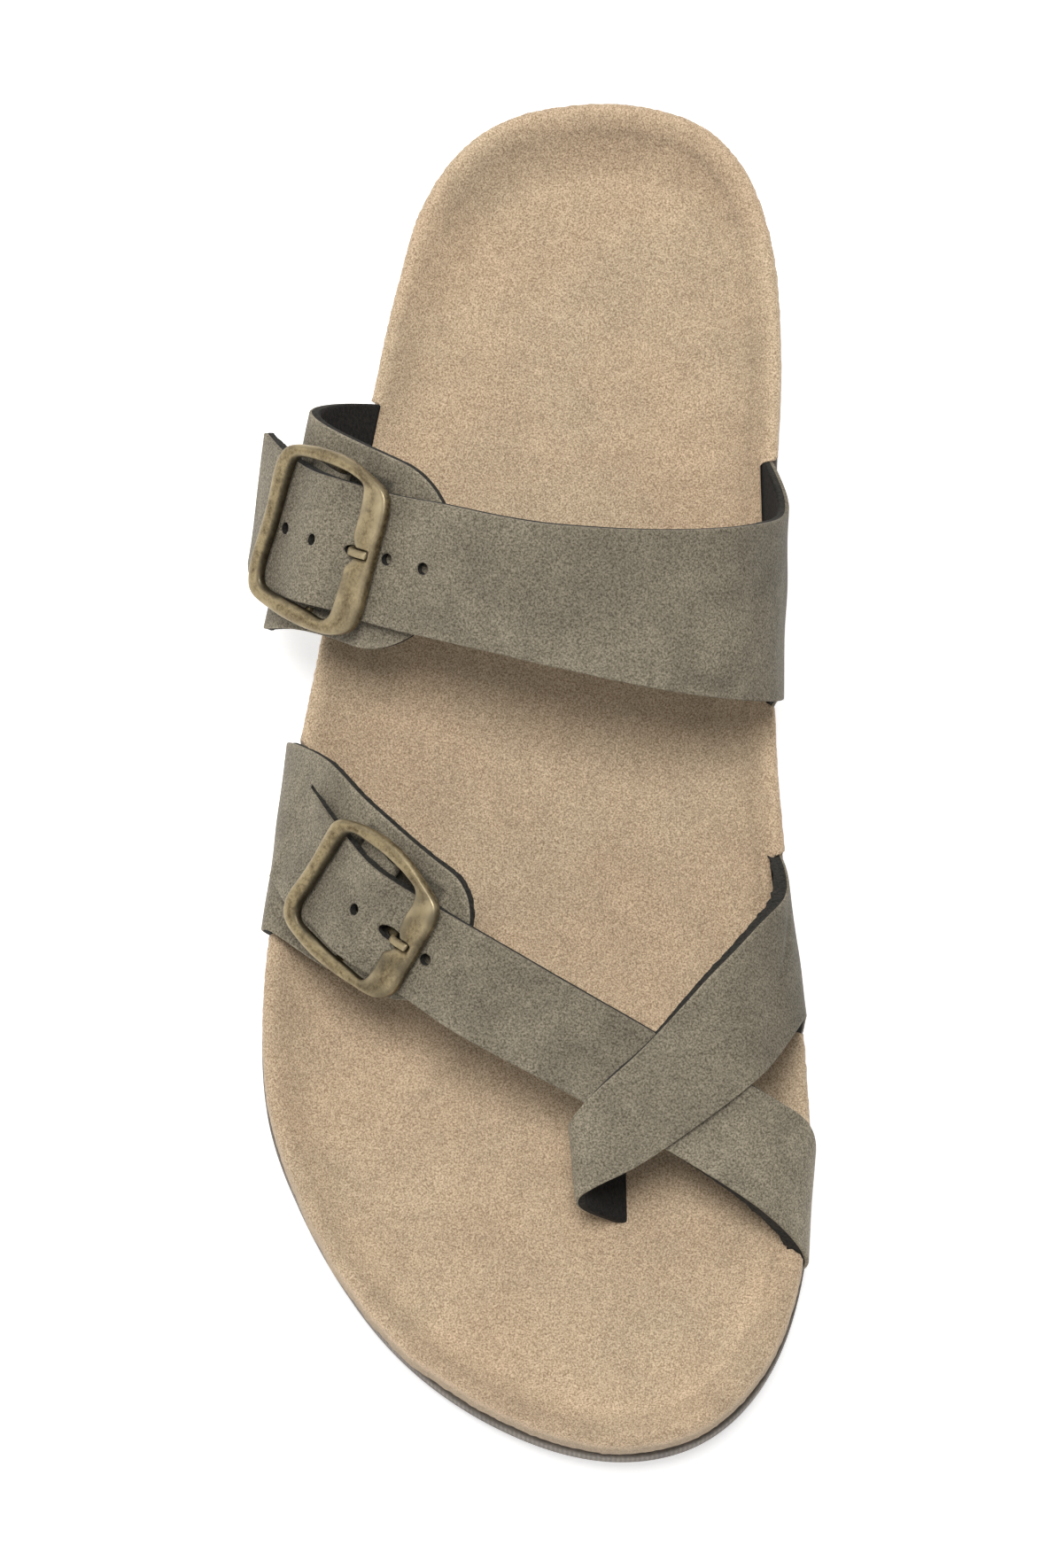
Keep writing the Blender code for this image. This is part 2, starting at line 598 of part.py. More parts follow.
def stand_on_origin(items, collection):
    """Parent everything to an empty that puts the middle of the footprint at the origin."""
    bpy.context.view_layer.update()
    graph = bpy.context.evaluated_depsgraph_get()
    corners = []
    for item in items:
        shape = item.evaluated_get(graph)
        corners += [shape.matrix_world @ Vector(corner) for corner in shape.bound_box]
    corners = np.array(corners)
    middle = (corners.min(axis=0) + corners.max(axis=0)) / 2
    root = bpy.data.objects.new("sandal_origin", None)
    collection.objects.link(root)
    for item in list(bpy.data.objects):
        if item is not root:
            item.parent = root
    root.location = (-middle[0], -middle[1], 0.0)


def main():
    clear_scene()
    parts = make_collection("cross_strap_sandal")
    cutters = make_collection("cutters")
    finish = {name: make_material(name) for name in FINISHES}

    straps = {
        "instep_strap": strap_rows(INSTEP_STRAP, "instep"),
        "instep_flap": strap_rows(INSTEP_FLAP, "instep"),
        "front_strap": strap_rows(FRONT_STRAP, "front"),
        "toe_strap": strap_rows(TOE_STRAP, "front"),
        "front_flap": strap_rows(FRONT_FLAP, "front"),
    }
    outsole = make_outsole(parts, finish["rubber"])
    footbed = make_footbed(parts, finish["suede"])

    instep_strap = make_strap("instep_strap", straps["instep_strap"], parts, finish["nubuck"])
    instep_flap = make_strap("instep_flap", straps["instep_flap"], parts, finish["nubuck"],
                             FLAP_ROUND["instep"])
    cross_strap = make_strap("cross_strap", straps["front_strap"], parts, finish["nubuck"])
    front_flap = make_strap("front_flap", straps["front_flap"], parts, finish["nubuck"], FLAP_ROUND["front"])
    toe_strap = make_strap("toe_strap", straps["toe_strap"], cutters)
    hide_cutter(toe_strap)
    add_boolean(cross_strap, toe_strap, "UNION")
    add_boolean(instep_strap, make_holes("instep", cutters), "DIFFERENCE")
    add_boolean(cross_strap, make_holes("front", cutters), "DIFFERENCE")

    tucked = [("instep_strap_recess", straps["instep_strap"], RECESS_REACH),
              ("instep_flap_recess", straps["instep_flap"], RECESS_REACH),
              ("front_flap_recess", straps["front_flap"], RECESS_REACH),
              ("toe_strap_recess", straps["toe_strap"], RECESS_REACH),
              ("front_strap_recess", straps["front_strap"][::-1], RECESS_REACH),
              ("toe_post_slot", straps["toe_strap"][::-1], GAP)]
    for name, edges, outwards in tucked:
        add_boolean(footbed, make_recess(name, edges, outwards, cutters), "DIFFERENCE")

    items = [outsole, footbed, instep_strap, instep_flap, cross_strap, front_flap]
    for name in BUCKLES:
        items.append(make_frame(name, cutters, parts, finish["brass"]))
        items.append(make_prong(name, parts, finish["brass"]))
    stand_on_origin(items, parts)


main()
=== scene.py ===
import bmesh
import bpy
import numpy as np
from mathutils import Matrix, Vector


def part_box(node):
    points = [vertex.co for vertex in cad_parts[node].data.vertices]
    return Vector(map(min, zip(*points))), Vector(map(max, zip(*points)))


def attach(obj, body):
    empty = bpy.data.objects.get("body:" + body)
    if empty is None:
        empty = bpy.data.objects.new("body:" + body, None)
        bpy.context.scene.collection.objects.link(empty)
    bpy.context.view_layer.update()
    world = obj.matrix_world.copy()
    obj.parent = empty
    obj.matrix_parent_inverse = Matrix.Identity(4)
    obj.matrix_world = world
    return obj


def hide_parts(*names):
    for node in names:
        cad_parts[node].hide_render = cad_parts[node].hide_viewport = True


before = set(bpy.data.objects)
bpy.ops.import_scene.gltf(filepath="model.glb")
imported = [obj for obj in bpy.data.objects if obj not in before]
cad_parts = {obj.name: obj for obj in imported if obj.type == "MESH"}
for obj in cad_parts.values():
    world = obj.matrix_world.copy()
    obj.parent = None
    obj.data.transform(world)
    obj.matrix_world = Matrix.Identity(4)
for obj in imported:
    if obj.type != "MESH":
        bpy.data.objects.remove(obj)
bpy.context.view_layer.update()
mm = 0.001
farAway = 99.0
print("frame loaded with", len(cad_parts), "solids")

# The shoe's own axes below are in millimetres: +x medial, -x lateral, +y heel, -y toe, +z up.


def smooth(share):
    # eases from 0 to 1 with level ends: three squares less two cubes
    share = np.clip(share, 0, 1)
    return share * share * (3 - 2 * share)


def easedTo(start, run, at):
    # eases from 0 at the start to 1 a run further on
    return smooth((at - start) / run)


def bell(off, half, power=2):
    # e to the minus of a power of the distance over its half width
    return np.exp(-(off / half) ** power)


def unit(vectors):
    # each vector over its length
    return vectors / np.linalg.norm(vectors, axis=-1, keepdims=True)


def walked(points):
    # the length along a row of points, up to each of them
    return np.concatenate([[0], np.cumsum(np.linalg.norm(np.diff(points, axis=0), axis=1))])


def fromTable(table, at):
    # straight lines between a table's places and amounts
    return np.interp(at, *zip(*table))


rippleShape = {"waves": 9, "turn": 2.39996, "lift": 1.7, "shortest": 0.7, "longer": 0.6, "phase": 3}


def ripple(points, size, seed=0.0):
    # even noise between about -1 and 1: sine waves of about one size, their directions a golden angle apart
    shape = rippleShape
    number = np.arange(shape["waves"])
    turn = number * shape["turn"] + seed
    way = unit(np.stack([np.cos(turn), np.sin(turn), np.cos(number * shape["lift"] + seed)], -1))
    reach = 2 * np.pi / (size * (shape["shortest"] + shape["longer"] * number / shape["waves"]))
    waves = np.sin(points @ (way * reach[:, None]).T + turn * shape["phase"])
    return waves.sum(axis=-1) / np.sqrt(shape["waves"] * 2)


def naturalSpline(knots, values, at):
    # each span blends its two ends by their shares, and bends by the second slopes solved at the knots
    knots = np.asarray(knots, float)
    values = np.asarray(values, float)
    flat = values.reshape(len(knots), -1)
    step = np.diff(knots)
    slope = np.diff(flat, axis=0) / step[:, None]
    system = np.diag(np.concatenate([[1], 2 * (step[:-1] + step[1:]), [1]]))
    system += np.diag(np.concatenate([[0], step[1:]]), 1)
    system += np.diag(np.concatenate([step[:-1], [0]]), -1)
    right = np.zeros(flat.shape)
    right[1:-1] = 6 * np.diff(slope, axis=0)
    bend = np.linalg.solve(system, right)
    at = np.asarray(at, float)
    k = np.clip(np.searchsorted(knots, at) - 1, 0, len(step) - 1)
    h = step[k][:, None]
    a = (knots[k + 1] - at)[:, None] / h
    b = 1 - a
    found = a * flat[k] + b * flat[k + 1] + ((a**3 - a) * bend[k] + (b**3 - b) * bend[k + 1]) * h**2 / 6
    return found.reshape(at.shape + values.shape[1:])


def closedSpline(table, count):
    # the natural spline through a closed table, carried past both ends so that it joins smoothly
    table = np.array(table, float)
    loop = np.vstack([table[-3:], table, table[:4]])
    knots = walked(loop)
    return naturalSpline(knots, loop, np.linspace(knots[3], knots[-4], count + 1))[:-1]


def smoothPath(points, count):
    # the natural spline through points, by its length, at even steps
    knots = walked(points)
    return naturalSpline(knots, points, np.linspace(0, knots[-1], count))


def gridOf(rows, columns, first=0):
    # the numbers of a grid's points, row by row
    return first + np.arange(rows * columns).reshape(rows, columns)


def quadsOf(index, wrap=False):
    # four corners of each cell of a grid of numbers, the last column joined to the first where it wraps
    if wrap:
        index = np.column_stack([index, index[:, 0]])
    return np.stack([index[:-1, :-1], index[1:, :-1], index[1:, 1:], index[:-1, 1:]], -1).reshape(-1, 4)


weldShape = {"join": 0.01, "shortest": 0.004}


def weld(mesh):
    # joins the points that meet along a spine or at an end, and turns every face outwards
    body = bmesh.new()
    body.from_mesh(mesh)
    bmesh.ops.remove_doubles(body, verts=body.verts, dist=weldShape["join"] * mm)
    bmesh.ops.dissolve_degenerate(body, edges=body.edges, dist=weldShape["shortest"] * mm)
    bmesh.ops.recalc_face_normals(body, faces=body.faces)
    body.to_mesh(mesh)
    body.free()
    mesh.shade_smooth()


def makePiece(name, node, points, quads, materials, layers, faceMaterial=None, uv=None, welded=True):
    # one mesh object at the origin, from arrays of points in the shoe's axes and of quads;
    # it rides the one body and stands in for a solid where one is named
    mesh = bpy.data.meshes.new(name)
    mesh.from_pydata(((points + originShift) * mm).tolist(), [], quads.tolist())
    for material in materials:
        mesh.materials.append(material)
    if faceMaterial is not None:
        mesh.polygons.foreach_set("material_index", faceMaterial.astype(np.int32))
    for key, values in layers.items():
        mesh.attributes.new(key, "FLOAT", "POINT").data.foreach_set("value", values.astype(np.float32))
    if uv is not None:
        corner = np.zeros(len(mesh.loops), np.int32)
        mesh.loops.foreach_get("vertex_index", corner)
        mesh.uv_layers.new(name="lengthMap").data.foreach_set("uv", uv[corner].astype(np.float32).ravel())
    mesh.shade_smooth()
    mesh.validate()
    piece = bpy.data.objects.new(name, mesh)
    bpy.context.scene.collection.objects.link(piece)
    if welded:
        weld(mesh)
    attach(piece, "root")
    if node:
        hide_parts(node)
    print(name, "made for", node or "no solid", "with", len(mesh.polygons), "faces")


# Materials: a noise is size in millimetres, detail, roughness and distortion;
# a span is a low and a high value, and then what they become; a bump is strength and depth

offLattice = (0.62, 0.47, 0.35)
waveRadians = 20  # that a wave texture turns in one unit


def startMaterial(name, sockets):
    # a Principled shader with its fixed values set, and functions that add a node and set the shader
    material = bpy.data.materials.new(name)
    material.use_nodes = True
    tree = material.node_tree
    shader = tree.nodes["Principled BSDF"]

    def put(socket, value):
        if isinstance(value, bpy.types.NodeSocket):
            tree.links.new(value, socket)
        else:
            socket.default_value = value

    def add(kind, inputs, out=0, **settings):
        node = tree.nodes.new(kind)
        for key, value in settings.items():
            setattr(node, key, value)
        for key, value in inputs.items():
            put(node.inputs[key], value)
        return node.outputs[out]

    for key, value in sockets.items():
        put(shader.inputs[key], value)
    return material, add, lambda key, value: put(shader.inputs[key], value)


def mixOf(add, share, first, second, how="MIX"):
    # blends two colours by a share
    return add("ShaderNodeMix", {0: share, 6: first, 7: second}, 2, data_type="RGBA", blend_type=how)


def spread(add, value, low, high, toLow=0.0, toHigh=1.0):
    # carries a value from one range to another, held at both ends
    return add("ShaderNodeMapRange", {"Value": value, "From Min": low, "From Max": high,
                                      "To Min": toLow, "To Max": toHigh})


def turnedPlace(add):
    # Object coordinates turned off the shoe's own planes, so that no face lies along the noise's lattice
    place = add("ShaderNodeTexCoord", {}, "Object")
    return add("ShaderNodeMapping", {"Vector": place, "Rotation": offLattice})


def noiseOf(add, where, size, detail=2.0, rough=0.5, bent=0.0):
    # noise whose lumps are about a size, in millimetres, across
    return add("ShaderNodeTexNoise", {"Vector": where, "Scale": 1 / (size * mm), "Detail": detail,
                                      "Roughness": rough, "Distortion": bent})


def attributeOf(add, name):
    # a piece's own value at each point
    return add("ShaderNodeAttribute", {}, "Fac", attribute_name=name)


def markTone(add, name, full):
    # a tone of one where a piece's value is nought, and the full tone where it is one
    return spread(add, attributeOf(add, name), 0.0, 1.0, 1.0, full)


def mathOf(add, operation, first, second):
    # the sum or product of two values
    return add("ShaderNodeMath", {0: first, 1: second}, operation=operation)


def shaded(add, colour, tone):
    # a colour times a grey tone
    grey = add("ShaderNodeCombineColor", {0: tone, 1: tone, 2: tone})
    return mixOf(add, 1.0, colour, grey, "MULTIPLY")


def bumpOf(add, bump, height):
    # leans the surface by a height between nought and one, times the bump's depth
    strength, depth = bump
    return add("ShaderNodeBump", {"Strength": strength, "Distance": depth * mm, "Height": height})


suedeLook = {
    "sockets": {"Roughness": 0.95, "Specular IOR Level": 0.15, "Sheen Weight": 0.2, "Sheen Roughness": 0.45,
                "Sheen Tint": (1.0, 0.9, 0.78, 1)},
    "dark": (0.242, 0.163, 0.098, 1), "middle": (0.487, 0.355, 0.231, 1), "light": (0.74, 0.583, 0.414, 1),
    "grain": (0.31, 2.0, 0.62), "grainShare": 0.8, "grainSpan": (0.34, 0.66), "bump": (0.6, 0.32),
    "tint": (26.0, 3.0, 0.5, 0.5), "tintSpan": (0.38, 0.62),
    "tintWarm": (1.01, 0.992, 0.968, 1), "tintCool": (0.985, 0.998, 0.985, 1),
    "tones": [  # nap, clouds and mottle
        ((1.5, 3.0, 0.55, 0.6), (0.3, 0.7, 0.94, 1.05)), ((20.0, 4.0, 0.55, 0.8), (0.3, 0.7, 0.95, 1.04)),
        ((7.5, 3.0, 0.6, 0.4), (0.36, 0.64, 0.955, 1.045))],
    # marks: darker by painted shade and soil, and paler by painted highlight, both on the footbed
    "marks": {"shadeAndSoil": 0.76, "paintedHighlight": 1.13},
}
nubuckLook = {
    "sockets": {"Roughness": 0.82, "Specular IOR Level": 0.25, "Sheen Weight": 0.12, "Sheen Roughness": 0.4,
                "Sheen Tint": (0.95, 0.92, 0.84, 1)},
    "dark": (0.072, 0.061, 0.039, 1), "middle": (0.181, 0.154, 0.109, 1), "light": (0.322, 0.281, 0.208, 1),
    "grain": (0.36, 2.5, 0.62), "grainShare": 0.8, "grainSpan": (0.35, 0.65), "bump": (0.55, 0.28),
    "tones": [  # fine creases and clouds
        ((3.2, 5.0, 0.6, 1.2), (0.3, 0.7, 0.93, 1.06)), ((13.0, 3.0, 0.55, 0.8), (0.36, 0.64, 0.86, 1.15))],
    # marks: paler by a painted highlight along the cut edges and on paler stretches, darker by painted shade
    # under the buckles and at the bends
    "marks": {"rim": 1.35, "paintedShade": 0.42},
}


def makeLeather(name, look):
    # flecks of grain mixed into a middle colour, times the tones of its noises and marks;
    # the grain and the first noise give the bump
    material, add, setShader = startMaterial(name, look["sockets"])
    where = turnedPlace(add)
    grain = noiseOf(add, where, *look["grain"])
    colour = mixOf(add, spread(add, grain, *look["grainSpan"]), look["dark"], look["light"])
    colour = mixOf(add, look["grainShare"], look["middle"], colour)
    if "tint" in look:
        tint = spread(add, noiseOf(add, where, *look["tint"]), *look["tintSpan"])
        colour = mixOf(add, 1.0, colour, mixOf(add, tint, look["tintWarm"], look["tintCool"]), "MULTIPLY")
    noises = [noiseOf(add, where, *noise) for noise, _ in look["tones"]]
    tones = [spread(add, noise, *span) for noise, (_, span) in zip(noises, look["tones"])]
    tones += [markTone(add, mark, full) for mark, full in look["marks"].items()]
    tone = tones[0]
    for more in tones[1:]:
        tone = mathOf(add, "MULTIPLY", tone, more)
    setShader("Base Color", shaded(add, colour, tone))
    setShader("Normal", bumpOf(add, look["bump"], mathOf(add, "ADD", grain, noises[0])))
    return material


liningLook = {"dark": (0.005, 0.0046, 0.0042, 1), "light": (0.028, 0.025, 0.022, 1), "fleeceSize": 0.7}
cutEdgeLook = {"dark": (0.007, 0.0064, 0.0052, 1), "light": (0.047, 0.043, 0.035, 1), "fleeceSize": 0.6}
fleeceLook = {
    "sockets": {"Roughness": 0.97, "Specular IOR Level": 0.1, "Sheen Weight": 0.04, "Sheen Roughness": 0.6},
    "noise": (3.0, 0.65, 0.5), "span": (0.3, 0.72), "bump": (0.8, 0.3),
}


def makeLining(name, look):
    # two dark colours mixed by a fleece's noise
    material, add, setShader = startMaterial(name, fleeceLook["sockets"])
    fleece = noiseOf(add, turnedPlace(add), look["fleeceSize"], *fleeceLook["noise"])
    fleck = spread(add, fleece, *fleeceLook["span"])
    setShader("Base Color", mixOf(add, fleck, look["dark"], look["light"]))
    setShader("Normal", bumpOf(add, fleeceLook["bump"], fleece))
    return material


rubberLook = {
    "sockets": {"Roughness": 0.78, "Specular IOR Level": 0.3},
    "dark": (0.145, 0.124, 0.104, 1), "light": (0.275, 0.24, 0.205, 1), "span": (0.7, 1.3),
    "dust": (0.9, 4.0, 0.6), "cloud": (12.0, 3.0, 0.55), "dustHeight": 0.6,
    "ribPitch": 0.9, "ribSpan": (0.0, 1.0, 0.8, 1.12), "bump": (0.7, 0.14), "sunkTone": 0.45,
}


def makeRubber():
    # ribs are bands of the length round the sole, in millimetres, kept to the side by its attribute
    look = rubberLook
    material, add, setShader = startMaterial("greyRubber", look["sockets"])
    where = turnedPlace(add)
    dust = noiseOf(add, where, *look["dust"])
    both = mathOf(add, "ADD", dust, noiseOf(add, where, *look["cloud"]))
    colour = mixOf(add, spread(add, both, *look["span"]), look["dark"], look["light"])
    length = add("ShaderNodeUVMap", {}, uv_map="lengthMap")
    bands = {"Vector": length, "Scale": 2 * np.pi / waveRadians / look["ribPitch"], "Distortion": 0.0}
    ribs = add("ShaderNodeTexWave", bands, "Fac", wave_type="BANDS", bands_direction="X")
    ribs = mathOf(add, "MULTIPLY", ribs, attributeOf(add, "side"))
    # painted shade in the tread's grooves
    sunk = markTone(add, "sunk", look["sunkTone"])
    tone = mathOf(add, "MULTIPLY", spread(add, ribs, *look["ribSpan"]), sunk)
    setShader("Base Color", shaded(add, colour, tone))
    height = mathOf(add, "ADD", ribs, mathOf(add, "MULTIPLY", dust, look["dustHeight"]))
    setShader("Normal", bumpOf(add, look["bump"], height))
    return material


brassLook = {
    "sockets": {"Metallic": 0.7, "Specular IOR Level": 0.5},
    "dark": (0.085, 0.058, 0.024, 1), "middle": (0.285, 0.222, 0.118, 1), "light": (0.50, 0.41, 0.25, 1),
    "speck": (0.55, 4.0, 0.65), "stain": (3.5, 4.0, 0.6, 0.8), "span": (0.8, 1.15),
    "roughness": (0.3, 0.7, 0.34, 0.55), "shadeAndTarnishTone": 0.24, "bump": (0.3, 0.12),
}


def makeBrass():
    # specks and stains mix two browns; places of wear and painted highlight are paler, and places of painted
    # shade, patina and tarnish darker
    look = brassLook
    material, add, setShader = startMaterial("antiqueBrass", look["sockets"])
    where = turnedPlace(add)
    speck = noiseOf(add, where, *look["speck"])
    both = mathOf(add, "ADD", speck, noiseOf(add, where, *look["stain"]))
    colour = mixOf(add, spread(add, both, *look["span"]), look["dark"], look["middle"])
    colour = mixOf(add, attributeOf(add, "wearAndGlint"), colour, look["light"])
    setShader("Base Color", shaded(add, colour, markTone(add, "shadeAndTarnish", look["shadeAndTarnishTone"])))
    setShader("Roughness", spread(add, speck, *look["roughness"]))
    setShader("Normal", bumpOf(add, look["bump"], speck))
    return material


suede = makeLeather("tanSuede", suedeLook)
nubuck = makeLeather("taupeNubuck", nubuckLook)
lining = makeLining("charcoalLining", liningLook)
cutEdge = makeLining("darkCutEdge", cutEdgeLook)
rubber = makeRubber()
brass = makeBrass()
print("materials made")


# Sole: the outline, and rays from it to the spine of the foot

soleShape = {
    "outline": [
        (12, 130), (-13, 121.2), (-24.4, 98), (-30.5, 70.5), (-40.7, 20), (-49.4, -36),
        (-48.4, -63), (-40.7, -83.2), (-24.5, -105.7), (-5.1, -119.3), (15, -125.1), (31, -121.8),
        (42.4, -111), (50, -90.5), (51, -56), (47, -12), (45.5, 12), (46.5, 66),
        (45.8, 100), (36, 122.7)],
    "heelCentre": 92.0, "toeCentre": -82.0, "stations": 300, "fanSteps": 220, "fanBehind": -8.0,
    "outlineSteps": 4000, "toeSpring": 5.5, "toeBreak": -72.0, "toeEnd": -125.7, "springPower": 1.8,
    "waistLift": 1.6, "waistCentre": 18.0, "waistHalfRun": 38.0,
    "heelBevel": 1.2, "heelBevelFrom": 112.0, "heelEnd": 130.0, "mostShare": 1.1,
    "outsoleThick": 7.0, "heelExtra": 2.0, "heelExtraFrom": -20.0, "heelExtraRun": 60.0,
    "outsoleProud": 0.6, "seamGap": 0.3,
}


def soleRays():
    # a closed spline through the outline, then level rays along the foot and fans of rays at heel and toe
    shape = soleShape
    dense = closedSpline(shape["outline"], shape["outlineSteps"])
    dense = np.roll(dense, -int(np.argmax(dense[:, 1])), axis=0)
    toe = int(np.argmin(dense[:, 1]))
    lateral = dense[:toe + 1][::-1]
    medial = dense[toe:]
    along = np.linspace(shape["heelCentre"], shape["toeCentre"], shape["stations"])
    left = np.interp(along, lateral[:, 1], lateral[:, 0])
    right = np.interp(along, medial[:, 1], medial[:, 0])
    spine = np.stack([(left + right) / 2, along], -1)

    def fan(centre, sign):
        # even angles round an end of the spine, each as long as the outline is there
        offset = (dense - centre) * (1, sign)
        offset = offset[offset[:, 1] > shape["fanBehind"]]
        angle = np.arctan2(offset[:, 1], offset[:, 0])
        order = np.argsort(angle)
        turn = np.linspace(0, np.pi, shape["fanSteps"] + 1)[1:-1]
        reach = np.interp(turn, angle[order], np.linalg.norm(offset, axis=1)[order])
        points = centre + np.stack([np.cos(turn), sign * np.sin(turn)], -1) * reach[:, None]
        return points, np.tile(centre, (len(turn), 1)), (1 + np.cos(turn)) / 2

    back, backCore, backMedial = fan(spine[0], 1)
    front, frontCore, frontMedial = fan(spine[-1], -1)
    edge = np.vstack([back, np.stack([left, along], -1), front[::-1], np.stack([right, along], -1)[::-1]])
    core = np.vstack([backCore, spine, frontCore, spine[::-1]])
    side = np.concatenate([backMedial, np.zeros(len(along)), frontMedial[::-1], np.ones(len(along))])
    return edge, core, side


def inset(edge, core, depth):
    # points that lie a depth inside the edge, on the way to the spine
    length = np.linalg.norm(core - edge, axis=1, keepdims=True)
    return edge + (core - edge) / length * np.minimum(depth, length)


def toeSpring(y):
    # a power of the way from the break to the toe's end
    shape = soleShape
    share = np.clip((shape["toeBreak"] - y) / (shape["toeBreak"] - shape["toeEnd"]), 0, shape["mostShare"])
    return shape["toeSpring"] * share ** shape["springPower"]


def groundHeight(y):
    # underside: flat under heel and ball, raised at the waist, sprung at the toe, bevelled behind the heel
    shape = soleShape
    waist = shape["waistLift"] * smooth(1 - np.abs(y - shape["waistCentre"]) / shape["waistHalfRun"])
    heelRun = shape["heelEnd"] - shape["heelBevelFrom"]
    heel = shape["heelBevel"] * np.clip((y - shape["heelBevelFrom"]) / heelRun, 0, shape["mostShare"]) ** 2
    return toeSpring(y) + waist + heel


def outsoleTop(y):
    # an even height, with more eased in towards the heel, and the toe's spring
    shape = soleShape
    rise = smooth((y - shape["heelExtraFrom"]) / shape["heelExtraRun"])
    return shape["outsoleThick"] + shape["heelExtra"] * rise + toeSpring(y)


soleEdge, soleCore, soleSide = soleRays()
outsoleEdge = inset(soleEdge, soleCore, -soleShape["outsoleProud"])
nodeLow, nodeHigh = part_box("outsole")
nodeMiddle = np.array((nodeLow + nodeHigh) / 2)[:2] / mm
originShift = np.append(nodeMiddle - (outsoleEdge.min(axis=0) + outsoleEdge.max(axis=0)) / 2, 0.0)
print("shoe axes stand off the origin by", np.round(originShift, 2), "mm")


# Straps: ruled faces between a rear and a front edge. A row is x, y, z of the rear edge and then of the front
# edge, and the rows from the first number of buckleRows up to the second are in the buckle's axes.
# Lips, shade and pale are amounts at lengths along a strap. A crease is its place along and across,
# its turn in degrees, half its length and width, and its depth.

buckles = {
    "instep": {
        "centre": (-39.2, 37.8, 54), "heading": -33.5, "rise": 29.5, "bank": 32.5,
        "seat": 14.9, "loopEnd": 13.0, "prongY": 0.3, "prongShift": 0.0, "prongYaw": 0.12,
        "prongReach": 3.9, "tarnish": 0.3, "lateralDarkFrom": 0.8,
        "outline": [  # outer x, y and window x, y, from the middle of the medial bar round by the heel side
            (14.3, 0, 8.3, 0), (14.4, 6, 8.6, 6), (14.3, 11, 8.5, 10.8), (13.2, 13.3, 7.9, 13.1),
            (10.5, 14.6, 5.8, 14), (4, 16.4, 2, 14.2), (-3, 16.5, -3, 14),
            (-9, 15.4, -7.2, 13.4), (-12.4, 13.8, -9.4, 12.4), (-13.8, 11, -10, 10),
            (-13.8, 5, -10.3, 4.5), (-14, -4, -10.7, -4), (-14.1, -10.6, -11, -9.6),
            (-12.9, -14, -10.1, -12), (-9.4, -15.5, -7, -12.8), (-3, -16.4, -2, -13),
            (3.5, -16.4, 2.5, -13.3), (9.4, -15.3, 5.8, -13.5), (12.9, -13.3, 7.4, -12.2),
            (14.1, -10.2, 7.9, -9), (14.2, -5, 8.1, -5)]},
    "front": {
        "centre": (-30.9, -29.6, 45), "heading": -44.7, "rise": 16.5, "bank": 35.0,
        "seat": 12.2, "loopEnd": 10.3, "prongY": -1.0, "prongShift": 0.4, "prongYaw": 0.18,
        "prongReach": 3.3, "tarnish": 0.65, "lateralDarkFrom": 0.78,
        "outline": [
            (14.7, 1, 8.9, 1), (14.7, 5, 8.9, 5), (14.5, 8, 8.9, 7.8), (13.4, 10.3, 8.2, 10),
            (10.6, 11.6, 6.2, 10.9), (5, 13.4, 2.5, 11.2), (-1, 14, -1.5, 11.3),
            (-7, 13.2, -6.2, 10.9), (-11, 11.8, -8.8, 10.4), (-13.4, 10.2, -10.2, 9.2),
            (-14.1, 7, -10.6, 6.2), (-14.1, 1.5, -11, 1), (-14.5, -4, -11.2, -4),
            (-14.8, -8.4, -11.4, -7.6), (-13.5, -11.4, -10.3, -9.9), (-9.6, -13.1, -7, -10.6),
            (-4, -13.8, -2.5, -10.9), (2, -13.5, 2, -10.9), (8, -12.6, 5.6, -10.9),
            (12.3, -11.2, 7.8, -10.3), (14.2, -9, 8.5, -8.2), (14.6, -4.5, 8.5, -4.5)]},
}
strapShape = {
    "wall": 2.2, "edgeRound": 0.3, "liningRound": 0.45, "step": 0.6,
    "edgeLines": (0, 0.05, 0.13, 0.26, 0.5), "bandShares": (0.1, 0.3, 0.44, 0.52, 0.6, 0.8, 0.93),
    "lipShares": (0, 0, -0.05, 0.55, 1, 0.95, 0.6), "lipLeast": 1e-6,
    "fuzzSize": 1.3, "fuzz": 0.14, "fuzzMore": (2.7, 0.6), "fuzzLeast": 0.03,
    "tipLines": 44, "tipEnd": 0.99, "tipMost": 0.9999, "stepAlong": 0.05, "stepAcross": 0.01,
    "calmRun": 6.0, "rimReach": 0.35, "paintedShadeSoft": 0.5,
}

